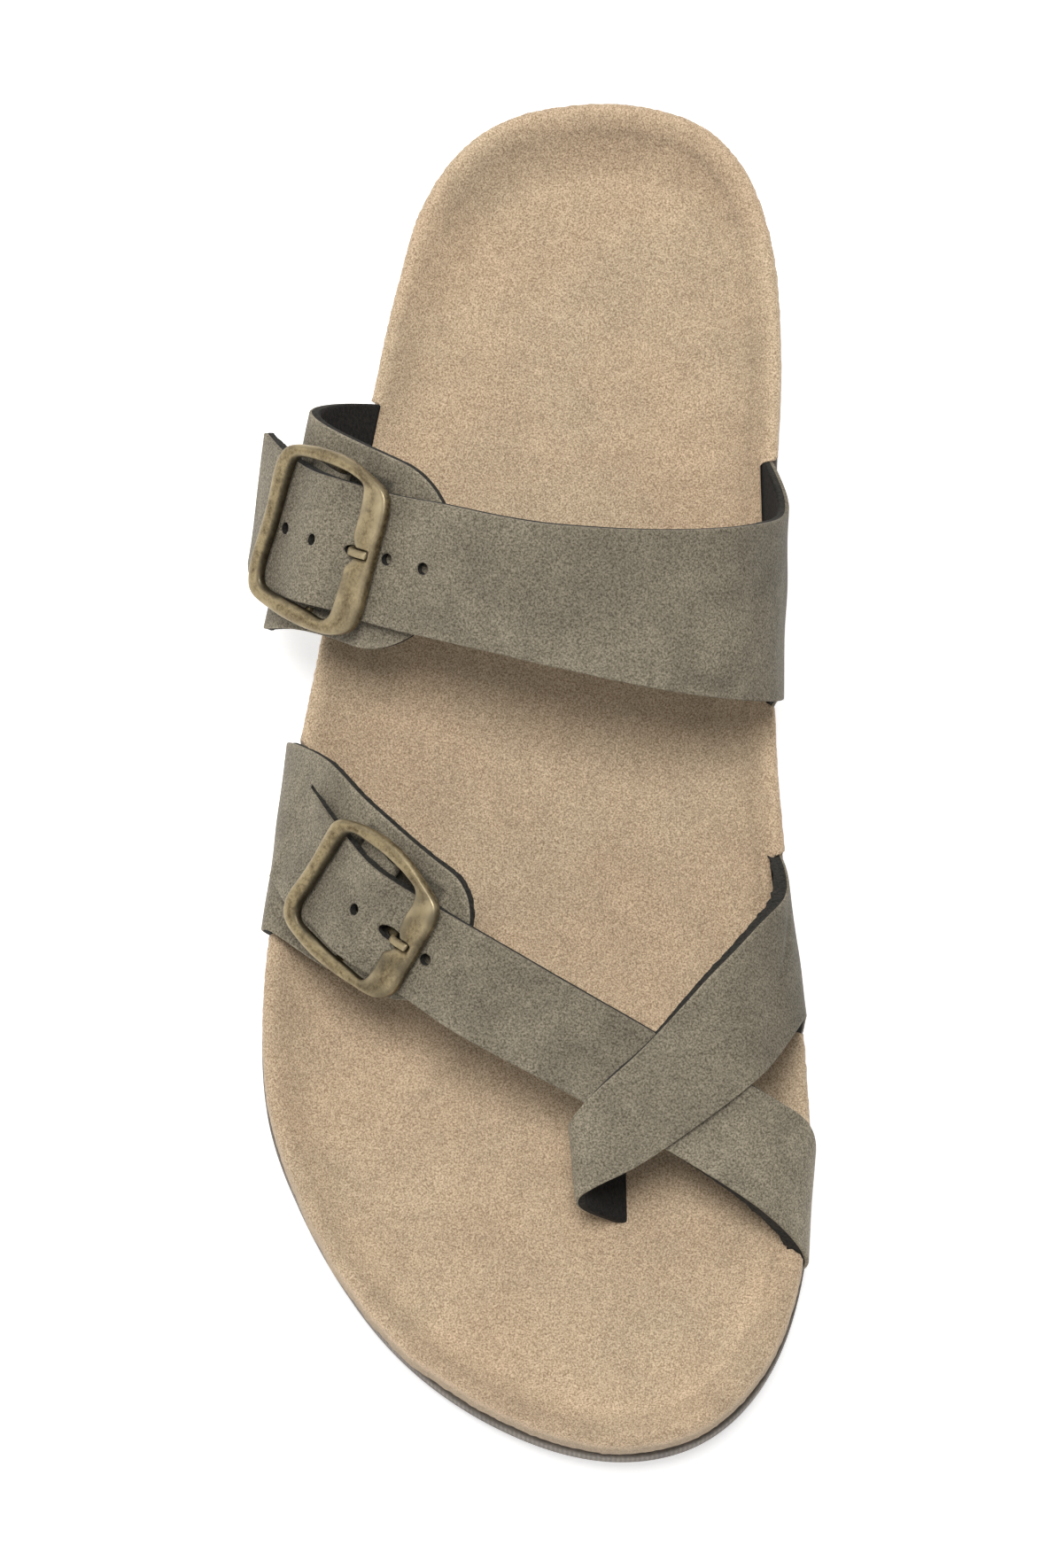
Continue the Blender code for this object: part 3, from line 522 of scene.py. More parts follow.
instepStrap = {
    "buckle": "instep", "free": (False, True),
    "buckleRows": (8, 14), "rows": [
        (45.3, 66, 9.6, 44.6, 13, 9.4), (45.2, 59.5, 32, 46, 13.8, 28), (47.4, 44.5, 50, 46.6, 11, 40),
        (43, 39, 60.5, 43.5, 8.5, 48.5), (31, 35, 70, 31, 7, 58), (13.5, 33.7, 75, 13.5, 9, 62.5),
        (-4, 36.2, 73, -7, 14.2, 61), (-17, 40.2, 69, -21, 18.4, 58), (11, 12.7, -1.9, 11, -11.5, -1.9),
        (7.8, 12.4, -1.4, 7.8, -11.6, -1.4), (-0.6, 12, 1, -0.6, -12.3, 1),
        (-9.6, 11.1, -1.5, -9.6, -13.3, -1.5), (-12.4, 11.3, -1.9, -12.4, -13.6, -1.9),
        (-25.4, 12.3, -7.4, -21.5, -12.3, -7.4)],
    "holes": [(-10.2, -1.3), (-1.2, -0.4), (14.6, 1.1), (22.4, 2)], "prongHole": (7.7, 0.3, 2, 1.1),
    "topShare": 0.35, "rimLight": 0.25, "calm": (141.5, 15), "wave": (0.16, 15),
    "shade": [(20, 0.15), (34, 0.4), (40, 0.7), (47, 0.55), (55, 0.25), (64, 0)],
    "lips": {"rear": [(15, 0.1), (30, 0.45), (48, 0.3), (60, 0.05), (139, 0.05), (147, 1.1), (158, 1.2),
                      (164, 0.5)],
             "front": [(15, 0.2), (60, 0.28), (120, 0.28), (140, 0.1), (147, 0.8), (158, 0.8), (164, 0.3)],
             "end": 0.25},
    "creases": [(124, 0, 86, 10, 2.2, -0.2), (119, 2, 80, 9, 2, 0.12), (52, -4, 70, 9, 2.4, -0.22),
                (46, 5, 76, 8, 2, 0.16), (58, 7, 60, 6, 1.6, -0.14), (40, -8, 66, 8, 2.2, -0.18)],
}
instepFlap = {
    "buckle": "instep", "free": (False, True), "tip": (16, 2),
    "buckleRows": (2, 7), "rows": [
        (-29, 74.5, 9.9, -38.4, 28, 9.6), (-30.6, 71, 31, -39.6, 29, 28.5),
        (-17, 19.4, -8.6, -14.7, -22.6, -8.2), (-9.5, 18.8, -5.4, -8, -20.2, -5.2),
        (1, 18.5, -5.1, 1, -18.2, -5.1), (13, 18.5, -4.9, 13, -17, -4.9), (26, 18.5, -8.3, 26, -16, -8.3)],
    "topShare": 0.1, "rimLight": 1.0, "wave": (0.12, 13),
    "lips": {"rear": [(20, 0.3), (40, 0.2), (70, 0.22)], "front": [(20, 0.2), (70, 0.25)], "end": 0.22},
    "paintedShade": (10.5, 14.5),
    "creases": [(36, -9, 80, 7, 1.8, -0.25), (33, 6, 84, 8, 2, -0.2)],
}
frontStrap = {
    "buckle": "front", "free": (True, False),
    "buckleRows": (0, 6), "rows": [
        (-26.3, 8.2, -5.2, -24.3, -10.7, -4.6), (-13.2, 7.8, -1.9, -13.2, -10.8, -1.9),
        (-10.4, 7.5, -1.5, -10.4, -10.4, -1.5), (-0.6, 8, 1, -0.6, -10, 1),
        (8.6, 8.4, -1.4, 8.6, -9.8, -1.4), (11.8, 8.8, -1.9, 11.8, -9.4, -1.9),
        (-11.7, -34.7, 53, -19.1, -49.3, 44.5), (3.5, -43.3, 51.3, -4.5, -57.8, 43.3),
        (22.3, -53.5, 47.5, 9.5, -65.1, 41.5), (31.1, -57.9, 44.5, 19.1, -70.4, 39.5),
        (39, -61.4, 41.5, 26.5, -74.2, 37.5), (45.5, -64.2, 37.5, 36, -79.5, 35),
        (50.7, -66.8, 32, 43.5, -84, 31), (52.3, -70.3, 25.5, 49.8, -88.8, 24),
        (51, -73, 8, 49.2, -91, 9.2)],
    "holes": [(-1.1, -1), (15.2, -0.6)], "prongHole": (7, -0.8, 2.3, 1.3),
    "topShare": 0.35, "rimLight": 0.25, "calm": (25.6, 15), "wave": (0.12, 13),
    "skive": (11, 1.2, 1.4), "pale": [(84, 0), (98, 0.55), (126, 0.55)],
    "lips": {"rear": [(0, 0.6), (14, 0.8), (22, 1), (36, 0.9), (42, 0.1), (120, 0.1)],
             "front": [(0, 0.1), (14, 0.3), (36, 0.3), (44, 0.1), (84, 0.1), (96, 0.5), (106, 1.2),
                       (118, 1.8), (132, 1.9)],
             "end": 0.1},
    "creases": [(44, 0, 86, 8, 2, -0.18), (49, 1, 82, 8, 2, 0.1), (112, 3, 75, 7, 2.2, -0.2),
                (118, -3, 70, 6, 1.8, 0.14)],
}
toeStrap = {
    "buckle": "front", "free": (False, False),
    "buckleRows": (0, 0), "rows": [
        (46, -13, 8.6, 50, -48, 7.5), (46.9, -16, 26, 50.7, -47, 25), (47.6, -22.5, 34, 50.7, -47, 31.5),
        (42.7, -31.6, 44, 44.5, -56.9, 40), (37.1, -38.3, 48, 39.6, -62.2, 42.5),
        (32.7, -43.1, 49.3, 31.8, -68, 41), (25.2, -51.4, 49, 24.1, -73.3, 39.5),
        (17.3, -58.9, 46.5, 18, -76.9, 38), (9.8, -65.1, 42.8, 12.1, -79.4, 36),
        (6.7, -68.2, 37.5, 8.3, -81.3, 33), (9.4, -68, 28.5, 9.8, -82.5, 26.5),
        (15.2, -67.3, 19, 15, -83.1, 19), (17.8, -67.2, 14, 17.6, -83.1, 14)],
    "topShare": 0.1, "rimLight": 1.0, "wave": (0.16, 14),
    "shade": [(14, 0.4), (28, 0.6), (40, 0.35), (50, 0.1), (58, 0)],
    "pale": [(50, 0), (62, 0.32), (84, 0.32)],
    "lips": {"rear": [(15, 1.4), (30, 1.7), (40, 1.5), (50, 1.1), (66, 0.6), (84, 0.25)],
             "front": [(15, 0.3), (60, 0.15), (84, 0.2)], "end": 0.0},
    "creases": [(31, -7, 62, 6, 1.2, -0.2), (34, -3, 58, 5, 1, -0.16), (40, 4, 70, 7, 2.2, -0.2),
                (82, 0, 80, 8, 2.4, -0.2), (76, 3, 74, 7, 2, 0.14)],
}
frontFlap = {
    "buckle": "front", "free": (False, True), "tip": (10, 2.2),
    "buckleRows": (2, 7), "rows": [
        (-42.8, 8, 8.8, -48, -27, 7.6), (-44.2, 6, 27, -50.2, -29, 24.5),
        (-27, 13.2, -9.5, -16.8, -18.2, -4.2), (-18, 14, -6.3, -12, -17.8, -4.7),
        (-4, 14.2, -5.1, -3, -16.6, -5.1), (8, 14.6, -4.9, 8, -13.6, -4.9),
        (18.8, 14.8, -6.6, 18.8, -12, -6.6)],
    "topShare": 0.1, "rimLight": 1.0, "wave": (0.12, 13),
    "lips": {"rear": [(15, 0.4), (50, 0.4), (60, 0.7), (67, 0.85)],
             "front": [(15, 0.7), (22, 0.25), (67, 0.3)], "end": 0.85},
    "paintedShade": (10.5, 11.5),
    "creases": [(24, -6, 80, 8, 2.2, -0.25), (28, 8, 84, 7, 2, -0.2)],
}
holeShape = {"radius": 1.12, "margin": 1.6, "rings": (0, 0.05, 0.11, 0.2, 0.4, 0.7), "rimRound": 0.3,
             "sink": 0.16, "sinkReach": 0.9, "topShare": 0.1,
             "searchLengths": 3000, "searchShares": (0.3, 0.7, 161), "searchHeight": 12.0}


def buckleAxes(name):
    # x along the strap to the medial side, y to the heel, z out of the frame, from heading, rise and bank
    buckle = buckles[name]
    heading, rise, bank = np.radians([buckle["heading"], buckle["rise"], buckle["bank"]])
    along = np.array([np.cos(heading) * np.cos(rise), np.sin(heading) * np.cos(rise), np.sin(rise)])
    level = np.array([-np.sin(heading), np.cos(heading), 0.0])
    back = level * np.cos(bank) + np.cross(along, level) * np.sin(bank)
    return np.column_stack([along, back, np.cross(along, back)]), np.array(buckle["centre"])


def toShoe(points, name):
    # from a buckle's axes to the shoe's
    axes, centre = buckleAxes(name)
    return points @ axes.T + centre


def toBuckle(points, name):
    # from the shoe's axes to a buckle's
    axes, centre = buckleAxes(name)
    return (points - centre) @ axes


def layStrap(strap):
    # edge points in the shoe's axes, lengths at the rows, and which side of the face is its outer one
    edges = np.array(strap["rows"]).reshape(-1, 2, 3)
    local = slice(*strap["buckleRows"])
    edges[local] = toShoe(edges[local], strap["buckle"])
    middle = edges.mean(axis=1)
    strap["edges"] = edges
    strap["knots"] = walked(middle)
    strap["length"] = strap["knots"][-1]
    across = (edges[:, 1] - edges[:, 0])[:-1]
    strap["outer"] = 1.0 if np.cross(np.diff(middle, axis=0), across).sum(axis=0)[2] > 0 else -1.0


def strapFace(strap, u, v):
    # rear edge and front edge are splines of the length u, and v goes straight from one to the other
    edges = naturalSpline(strap["knots"], strap["edges"], u)
    return edges[:, 0] * (1 - v)[:, None] + edges[:, 1] * v[:, None]


def strapNormal(strap, u, v):
    # across the two directions of the face, from small steps along and across
    du, dv = strapShape["stepAlong"], strapShape["stepAcross"]
    along = strapFace(strap, u + du, v) - strapFace(strap, u - du, v)
    across = strapFace(strap, u, v + dv) - strapFace(strap, u, v - dv)
    return unit(np.cross(along, across) * strap["outer"])


def strapWidth(strap, u):
    # from the rear edge straight to the front edge
    edges = naturalSpline(strap["knots"], strap["edges"], u)
    return np.linalg.norm(edges[:, 1] - edges[:, 0], axis=1)


def closeLines(length, step, atStart, atEnd):
    # even lines a step apart, with closer ones beside the ends that are cut edges
    fine = np.array(strapShape["edgeLines"])
    start = fine if atStart else fine[:1]
    end = length - (fine if atEnd else fine[:1])[::-1]
    count = max(int((end[0] - start[-1]) / step), 1)
    return np.concatenate([start, np.linspace(start[-1], end[0], count + 1)[1:-1], end])


def holePlace(strap, place):
    # the length and share of width whose point lies at a place of the buckle's plane, by a close search
    shape = holeShape
    lengths = np.linspace(0, strap["length"], shape["searchLengths"])
    grid = np.meshgrid(lengths, np.linspace(*shape["searchShares"]), indexing="ij")
    u, v = (axis.ravel() for axis in grid)
    local = toBuckle(strapFace(strap, u, v), strap["buckle"])
    off = np.hypot(local[:, 0] - place[0], local[:, 1] - place[1])
    off = np.where(np.abs(local[:, 2]) < shape["searchHeight"], off, farAway)
    best = int(np.argmin(off))
    return u[best], v[best]


def borderOf(index):
    # the numbers round the outside of a grid: its first column, last row, last column and first row
    return np.concatenate([index[:-1, 0], index[-1, :-1], index[:0:-1, -1], index[0, :0:-1]])


def punchedGrid(uLines, vLines, holes, widthOf):
    # a grid of lines along and across; round each hole a block of cells is left out,
    # and rings step from the block's border to the hole's ellipse
    shape = holeShape
    rows, columns = len(uLines), len(vLines)
    places = [np.stack(np.meshgrid(uLines, vLines, indexing="ij"), -1).reshape(-1, 2)]
    index = gridOf(rows, columns)
    kept = np.ones((rows - 1, columns - 1), bool)
    quads, loops = [], []
    fromHole = [np.full(index.size, farAway)]
    count = index.size
    for u, v, halfU, halfV in holes:
        width = widthOf(np.array([u]))[0]
        i0 = np.searchsorted(uLines, u - halfU - shape["margin"]) - 1
        i1 = np.searchsorted(uLines, u + halfU + shape["margin"])
        j0 = np.searchsorted(vLines, v - (halfV + shape["margin"]) / width) - 1
        j1 = np.searchsorted(vLines, v + (halfV + shape["margin"]) / width)
        kept[i0:i1, j0:j1] = False
        border = borderOf(index[i0:i1 + 1, j0:j1 + 1])
        out = (places[0][border] - (u, v)) * (1, width)
        turn = np.arctan2(out[:, 1] / halfV, out[:, 0] / halfU)
        rim = np.stack([halfU * np.cos(turn), halfV * np.sin(turn)], -1)
        step = np.array(shape["rings"])[:, None, None]
        rings = rim + (out - rim) * step
        places.append((rings / (1, width) + (u, v)).reshape(-1, 2))
        fromHole.append((np.linalg.norm(out - rim, axis=1) * step[:, :, 0]).ravel())
        fresh = gridOf(len(step), len(border), count)
        quads.append(quadsOf(np.vstack([fresh, border]), True))
        loops.append(fresh[0])
        count += fresh.size
    cells = quadsOf(index).reshape(rows - 1, columns - 1, 4)[kept]
    within = np.concatenate([index[:-1, 1], index[-2, :-1], index[:0:-1, -2], index[1, :0:-1]])
    quads = np.vstack([cells] + quads)
    return np.vstack(places), quads, borderOf(index), within, loops, np.concatenate(fromHole)


def roundDrop(distance, radius):
    # how far a rounded edge lies under the face: the radius less the height of a quarter circle
    short = radius - np.clip(distance, 0, radius)
    return radius - np.sqrt(radius**2 - short**2)


def creaseLift(strap, u, w):
    # soft troughs and ridges: each is a bell across its line, and fades towards both ends of the line
    lift = np.zeros(len(u))
    for alongU, acrossW, turn, halfLength, halfWidth, depth in strap["creases"]:
        turn = np.radians(turn)
        along = (u - alongU) * np.cos(turn) + (w - acrossW) * np.sin(turn)
        off = (w - acrossW) * np.cos(turn) - (u - alongU) * np.sin(turn)
        lift += depth * np.exp(-(off / halfWidth) ** 2 - (along / halfLength) ** 4)
    return lift


def strapLines(strap):
    # lines along and across, closer at cut edges; a rounded tip has lines that crowd towards its end
    shape = strapShape
    length = strap["length"]
    uLines = closeLines(length, shape["step"], *strap["free"])
    if "tip" in strap:
        straight = length - strap["tip"][0]
        turn = np.linspace(0, shape["tipEnd"], shape["tipLines"]) * np.pi / 2
        uLines = np.concatenate([closeLines(straight, shape["step"], False, False)[:-1],
                                 straight + strap["tip"][0] * np.sin(turn)])
    widest = strapWidth(strap, uLines).mean()
    return uLines, closeLines(widest, shape["step"], True, True) / widest


def roundTip(strap, u, v, width):
    # half width times (1 - past^p)^(1/p), and the distance to the edge measured across its slope
    half = width / 2
    slope = np.zeros(len(u))
    if "tip" in strap:
        reach, power = strap["tip"]
        past = np.clip((u - strap["length"] + reach) / reach, 0, strapShape["tipMost"])
        taper = (1 - past ** power) ** (1 / power)
        slope = half * taper / (1 - past ** power) * past ** (power - 1) / reach
        half = half * taper
        v = 0.5 + (v - 0.5) * taper
    fromEdge = (half - np.abs(v - 0.5) * width) / np.sqrt(1 + slope**2)
    freeStart, freeEnd = strap["free"]
    if freeStart:
        fromEdge = np.minimum(fromEdge, u)
    if freeEnd and "tip" not in strap:
        fromEdge = np.minimum(fromEdge, strap["length"] - u)
    return v, np.maximum(fromEdge, 0)


def lipAmounts(strap, rows, columns, u, points):
    # how far the dark lower layer stands out of the cut edge, round the border, with a ragged share
    shape = strapShape
    lips = strap["lips"]
    rear = fromTable(lips["rear"], u[:rows - 1])
    front = fromTable(lips["front"], u[rows + columns - 2:2 * rows + columns - 3])
    ends = np.full(columns - 1, lips["end"])
    amount = np.concatenate([rear, ends, front, ends])
    longer, share = shape["fuzzMore"]
    ragged = ripple(points, shape["fuzzSize"]) + share * ripple(points, shape["fuzzSize"] * longer, seed=1.0)
    return amount * (1 + shape["fuzz"] * ragged) + shape["fuzzLeast"] * ragged


def makeStrap(name, strap, node):
    # nubuck outer face, lined inner face a wall below it, and a banded edge round the border and each hole
    shape = strapShape
    layStrap(strap)
    uLines, vLines = strapLines(strap)
    holes = []
    if "holes" in strap:
        radius = holeShape["radius"]
        holes = [(*holePlace(strap, place), radius, radius) for place in strap["holes"]]
        prong = strap["prongHole"]
        holes.append((*holePlace(strap, prong[:2]), *prong[2:]))
    uv, quads, border, within, loops, fromHole = punchedGrid(
        uLines, vLines, holes, lambda u: strapWidth(strap, u))
    u, v = uv.T
    width = strapWidth(strap, u)
    v, fromEdge = roundTip(strap, u, v, width)
    across = (v - 0.5) * width

    face = strapFace(strap, u, v)
    normal = strapNormal(strap, u, v)
    calmU, calmHalf = strap.get("calm", (-farAway, 0.0))
    moving = smooth((np.abs(u - calmU) - calmHalf) / shape["calmRun"])
    waveHeight, waveSize = strap["wave"]
    lift = creaseLift(strap, u, across) + waveHeight * ripple(face, waveSize) * moving
    wall = np.full(len(u), shape["wall"])
    if "skive" in strap:
        run, thinner, lower = strap["skive"]
        share = smooth(1 - u / run)
        wall -= thinner * share
        lift -= lower * share
    sink = holeShape["sink"] * bell(fromHole, holeShape["sinkReach"])
    drop = roundDrop(fromEdge, shape["edgeRound"]) + roundDrop(fromHole, holeShape["rimRound"]) + sink
    outerFace = face + normal * (lift - drop)[:, None]
    innerFace = face + normal * (lift - wall + roundDrop(fromEdge, shape["liningRound"]))[:, None]

    count = len(u)
    points = [outerFace, innerFace]
    faces = [quads, quads[:, ::-1] + count]
    kinds = [np.zeros(len(quads), int), np.full(len(quads), 2)]
    # a painted highlight along the top's cut edges, as strong as the strap's rimLight
    rim = [np.exp(-fromEdge / shape["rimReach"]) * strap["rimLight"], np.zeros(count)]
    maps = [np.column_stack([u, across])] * 2
    total = 2 * count
    outward = outerFace[border] - outerFace[within]
    outward /= np.maximum(np.linalg.norm(outward, axis=1, keepdims=True), shape["lipLeast"])
    outward *= lipAmounts(strap, len(uLines), len(vLines), u[border], outerFace[border])[:, None]
    share = np.array(shape["bandShares"])
    lip = np.array(shape["lipShares"])
    middle = (np.append(0, share) + np.append(share, 1)) / 2
    rounds = [(border, outward, False)] + [(loop, np.zeros((len(loop), 3)), True) for loop in loops]
    for loop, out, inside in rounds:
        top, bottom = outerFace[loop], innerFace[loop]
        band = top + (bottom - top) * share[:, None, None] + out * lip[:, None, None]
        fresh = gridOf(len(share), len(loop), total)
        sides = quadsOf(np.vstack([loop, fresh, loop + count]), True)
        points.append(band.reshape(-1, 3))
        faces.append(sides[:, ::-1] if inside else sides)
        topShare = holeShape["topShare"] if inside else strap["topShare"]
        kinds.append(np.repeat((middle > topShare).astype(int), len(loop)))
        rim.append(np.zeros(fresh.size))
        maps.append(np.tile(maps[0][loop], (len(share), 1)))
        total += fresh.size
    faces = np.vstack(faces)
    if strap["outer"] < 0:
        faces = faces[:, ::-1]
    used, fresh = np.unique(faces, return_inverse=True)
    points = np.vstack(points)[used]
    lengthMap = np.vstack(maps)[used]
    # painted shade: darker on a flap under its buckle's window, and along a strap's bends by its shade table;
    # the rim layer also takes the pale table's paler stretches
    fromBar = np.abs(toBuckle(points, strap["buckle"]))
    halfX, halfY = strap.get("paintedShade", (-farAway, 0.0))
    soft = shape["paintedShadeSoft"]
    paintedShade = smooth(halfX + soft - fromBar[:, 0]) * smooth(halfY + soft - fromBar[:, 1])
    paintedShade = np.maximum(paintedShade, fromTable(strap.get("shade", [(0, 0)]), lengthMap[:, 0]))
    pale = fromTable(strap.get("pale", [(0, 0)]), lengthMap[:, 0])
    layers = {"rim": np.maximum(np.concatenate(rim)[used], pale), "paintedShade": paintedShade}
    makePiece(name, node, points, fresh.reshape(-1, 4), [nubuck, cutEdge, lining], layers,
              np.concatenate(kinds), lengthMap, welded=False)


makeStrap("instepStrap", instepStrap, "instep_strap")
makeStrap("instepFlap", instepFlap, "instep_flap")
makeStrap("frontStrap", frontStrap, "cross_strap")
makeStrap("toeStrap", toeStrap, "cross_strap")
makeStrap("frontFlap", frontFlap, "front_flap")


# Footbed: rings from the underside up the wrapped side, over the rim and down the dish to the spine

footbedShape = {
    "heights": [  # y, floor, lateral rim, medial rim, width of the rim's slope
        (130, 29, 7, 7, 14), (95, 28, 7, 7.5, 14), (65, 26.5, 5.5, 8, 13),
        (35, 25, 5, 8, 13), (5, 21.5, 5.5, 7, 13), (-35, 19, 5.5, 5.5, 12),
        (-80, 19, 5, 5, 11), (-127, 20.5, 4.5, 4.5, 10)],
    "rimRadius": 3.0, "slopeSkew": 0.8, "heelSkew": (0.2, 85, 25), "chamfer": 0.8,
    "sideRows": 22, "sideBulge": 0.25, "reachShare": 0.8, "coreSteps": 10,
    "insets": (0.0, 0.1, 0.25, 0.5, 0.8, 1.2, 1.7, 2.3, 3.0, 3.8, 4.6, 5.5, 6.5, 7.5, 8.5, 9.5, 10.5, 11.5,
               12.5, 13.5, 15.0, 17.0),
    "edgeWave": 0.12, "edgeWaveSize": 17.0, "fibre": 0.09, "fibreSize": 1.4,
    "lumps": 0.16, "lumpSize": 8.0, "lumpY": (-70, -15),
    "toeProud": [(-118, 0), (-108, 0.35), (-92, 0.35), (-76, 0)],
}
tuckShape = {"clear": 0.35, "soft": 0.8, "before": -2.0, "past": 5.0, "rows": 44, "shares": (-0.1, 1.1, 90),
             "near": 6.0, "most": 9.0, "beyond": 2.5}
# Painted shade at the side's foot, in the medial fold and the heel's groove, darker towards the bottom of the
# side, and soil in the band by the toe's edge; painted highlight along the rim, on the lateral slope, the
# toe's shelf and its lip
footbedMarks = {  # a darker mark of painted shade and soil, and a paler one of painted highlight: its depth, half width and amount
    "foot": 0.7, "side": 0.5, "toeSide": 0.7, "toeSteep": 3.0, "rimSteep": 4.0, "toeLight": 0.9,
    "toeY": (-84, -22), "toeEndY": (-66, -30), "highlightY": (-60, 120), "highlightLeast": 0.1,
    "highlightDepth": 2.4, "highlightReach": 1.6, "fold": (5.8, 0.55, 0.45), "foldSide": (0.3, 0.5),
    "groove": (5.4, 1.5, 3.2, 0.6), "grooveY": (98, 16), "patches": (14, 0.75, 0.5),
    "band": (2.3, 2.1, 0.5), "bandFrom": 1.2, "shelf": (7.4, 1.7, 0.7), "toeLip": (1.5, 0.6, 0.9),
    "slope": (8.5, 5, 0.9), "slopeY": (80, 30),
}


def spot(depth, mark, power=2):
    # an amount times a bell round a depth
    place, half, amount = mark
    return amount * bell(depth - place, half, power)


def footbedTop(y, depth, side):
    # floor, plus the rim's eased slope that is steepest near the rim, less the rounding of its edge
    shape = footbedShape
    table = np.array(shape["heights"], float)[::-1]
    floor, low, high, width = naturalSpline(table[:, 0], table[:, 1:], y).T
    rim = low + (high - low) * side
    more, heelFrom, heelRun = shape["heelSkew"]
    skew = shape["slopeSkew"] + more * smooth((y - heelFrom) / heelRun)
    slope = smooth(1 - np.minimum(depth / width, 1) ** skew)
    return floor + rim * slope - roundDrop(depth, shape["rimRadius"])


def tuckBehind(points, strap, fromStart):
    # where a strap is tucked in, the side is pressed back until it clears the strap's inner face
    shape = tuckShape
    length = strap["length"]
    reach = strap["knots"][1] if fromStart else length - strap["knots"][-2]
    u = np.linspace(shape["before"], reach + shape["past"], shape["rows"])
    u = u if fromStart else length - u
    gridU, gridV = (axis.ravel() for axis in np.meshgrid(u, np.linspace(*shape["shares"]), indexing="ij"))
    face = strapFace(strap, gridU, gridV)
    normal = strapNormal(strap, gridU, gridV)
    low, high = face.min(axis=0) - shape["near"], face.max(axis=0) + shape["near"]
    near = np.where(((points > low) & (points < high)).all(axis=1))[0]
    apart = points[near][:, None, :] - face[None]
    best = np.argmin((apart**2).sum(axis=2), axis=1)
    off = ((points[near] - face[best]) * normal[best]).sum(axis=1)
    slack = points[near] - face[best] - normal[best] * off[:, None]
    inside = (0.5 - np.abs(gridV[best] - 0.5)) * strapWidth(strap, gridU[best])
    beyond = np.linalg.norm(slack, axis=1)
    push = np.maximum(off + strapShape["wall"] + shape["clear"], 0)
    push = np.where(push < shape["most"], push, 0)
    push = push * smooth(inside / shape["soft"] + 1) * smooth(shape["beyond"] - beyond)
    points[near] -= normal[best] * push[:, None]


def footbedEdge():
    # the sole's edge with long waves, lumps by the small toes, fibres and a prouder stretch there
    shape = footbedShape
    flat = np.column_stack([soleEdge, np.zeros(len(soleEdge))])
    y = soleEdge[:, 1]
    puckered = (1 - soleSide) * easedTo(*shape["lumpY"], y)
    wave = ripple(flat, shape["edgeWaveSize"]) * shape["edgeWave"]
    wave += ripple(flat, shape["lumpSize"]) * shape["lumps"] * puckered
    wave += ripple(flat, shape["fibreSize"], seed=2.0) * shape["fibre"]
    wave -= fromTable(shape["toeProud"], y) * (1 - soleSide)
    return inset(soleEdge, soleCore, wave[:, None])


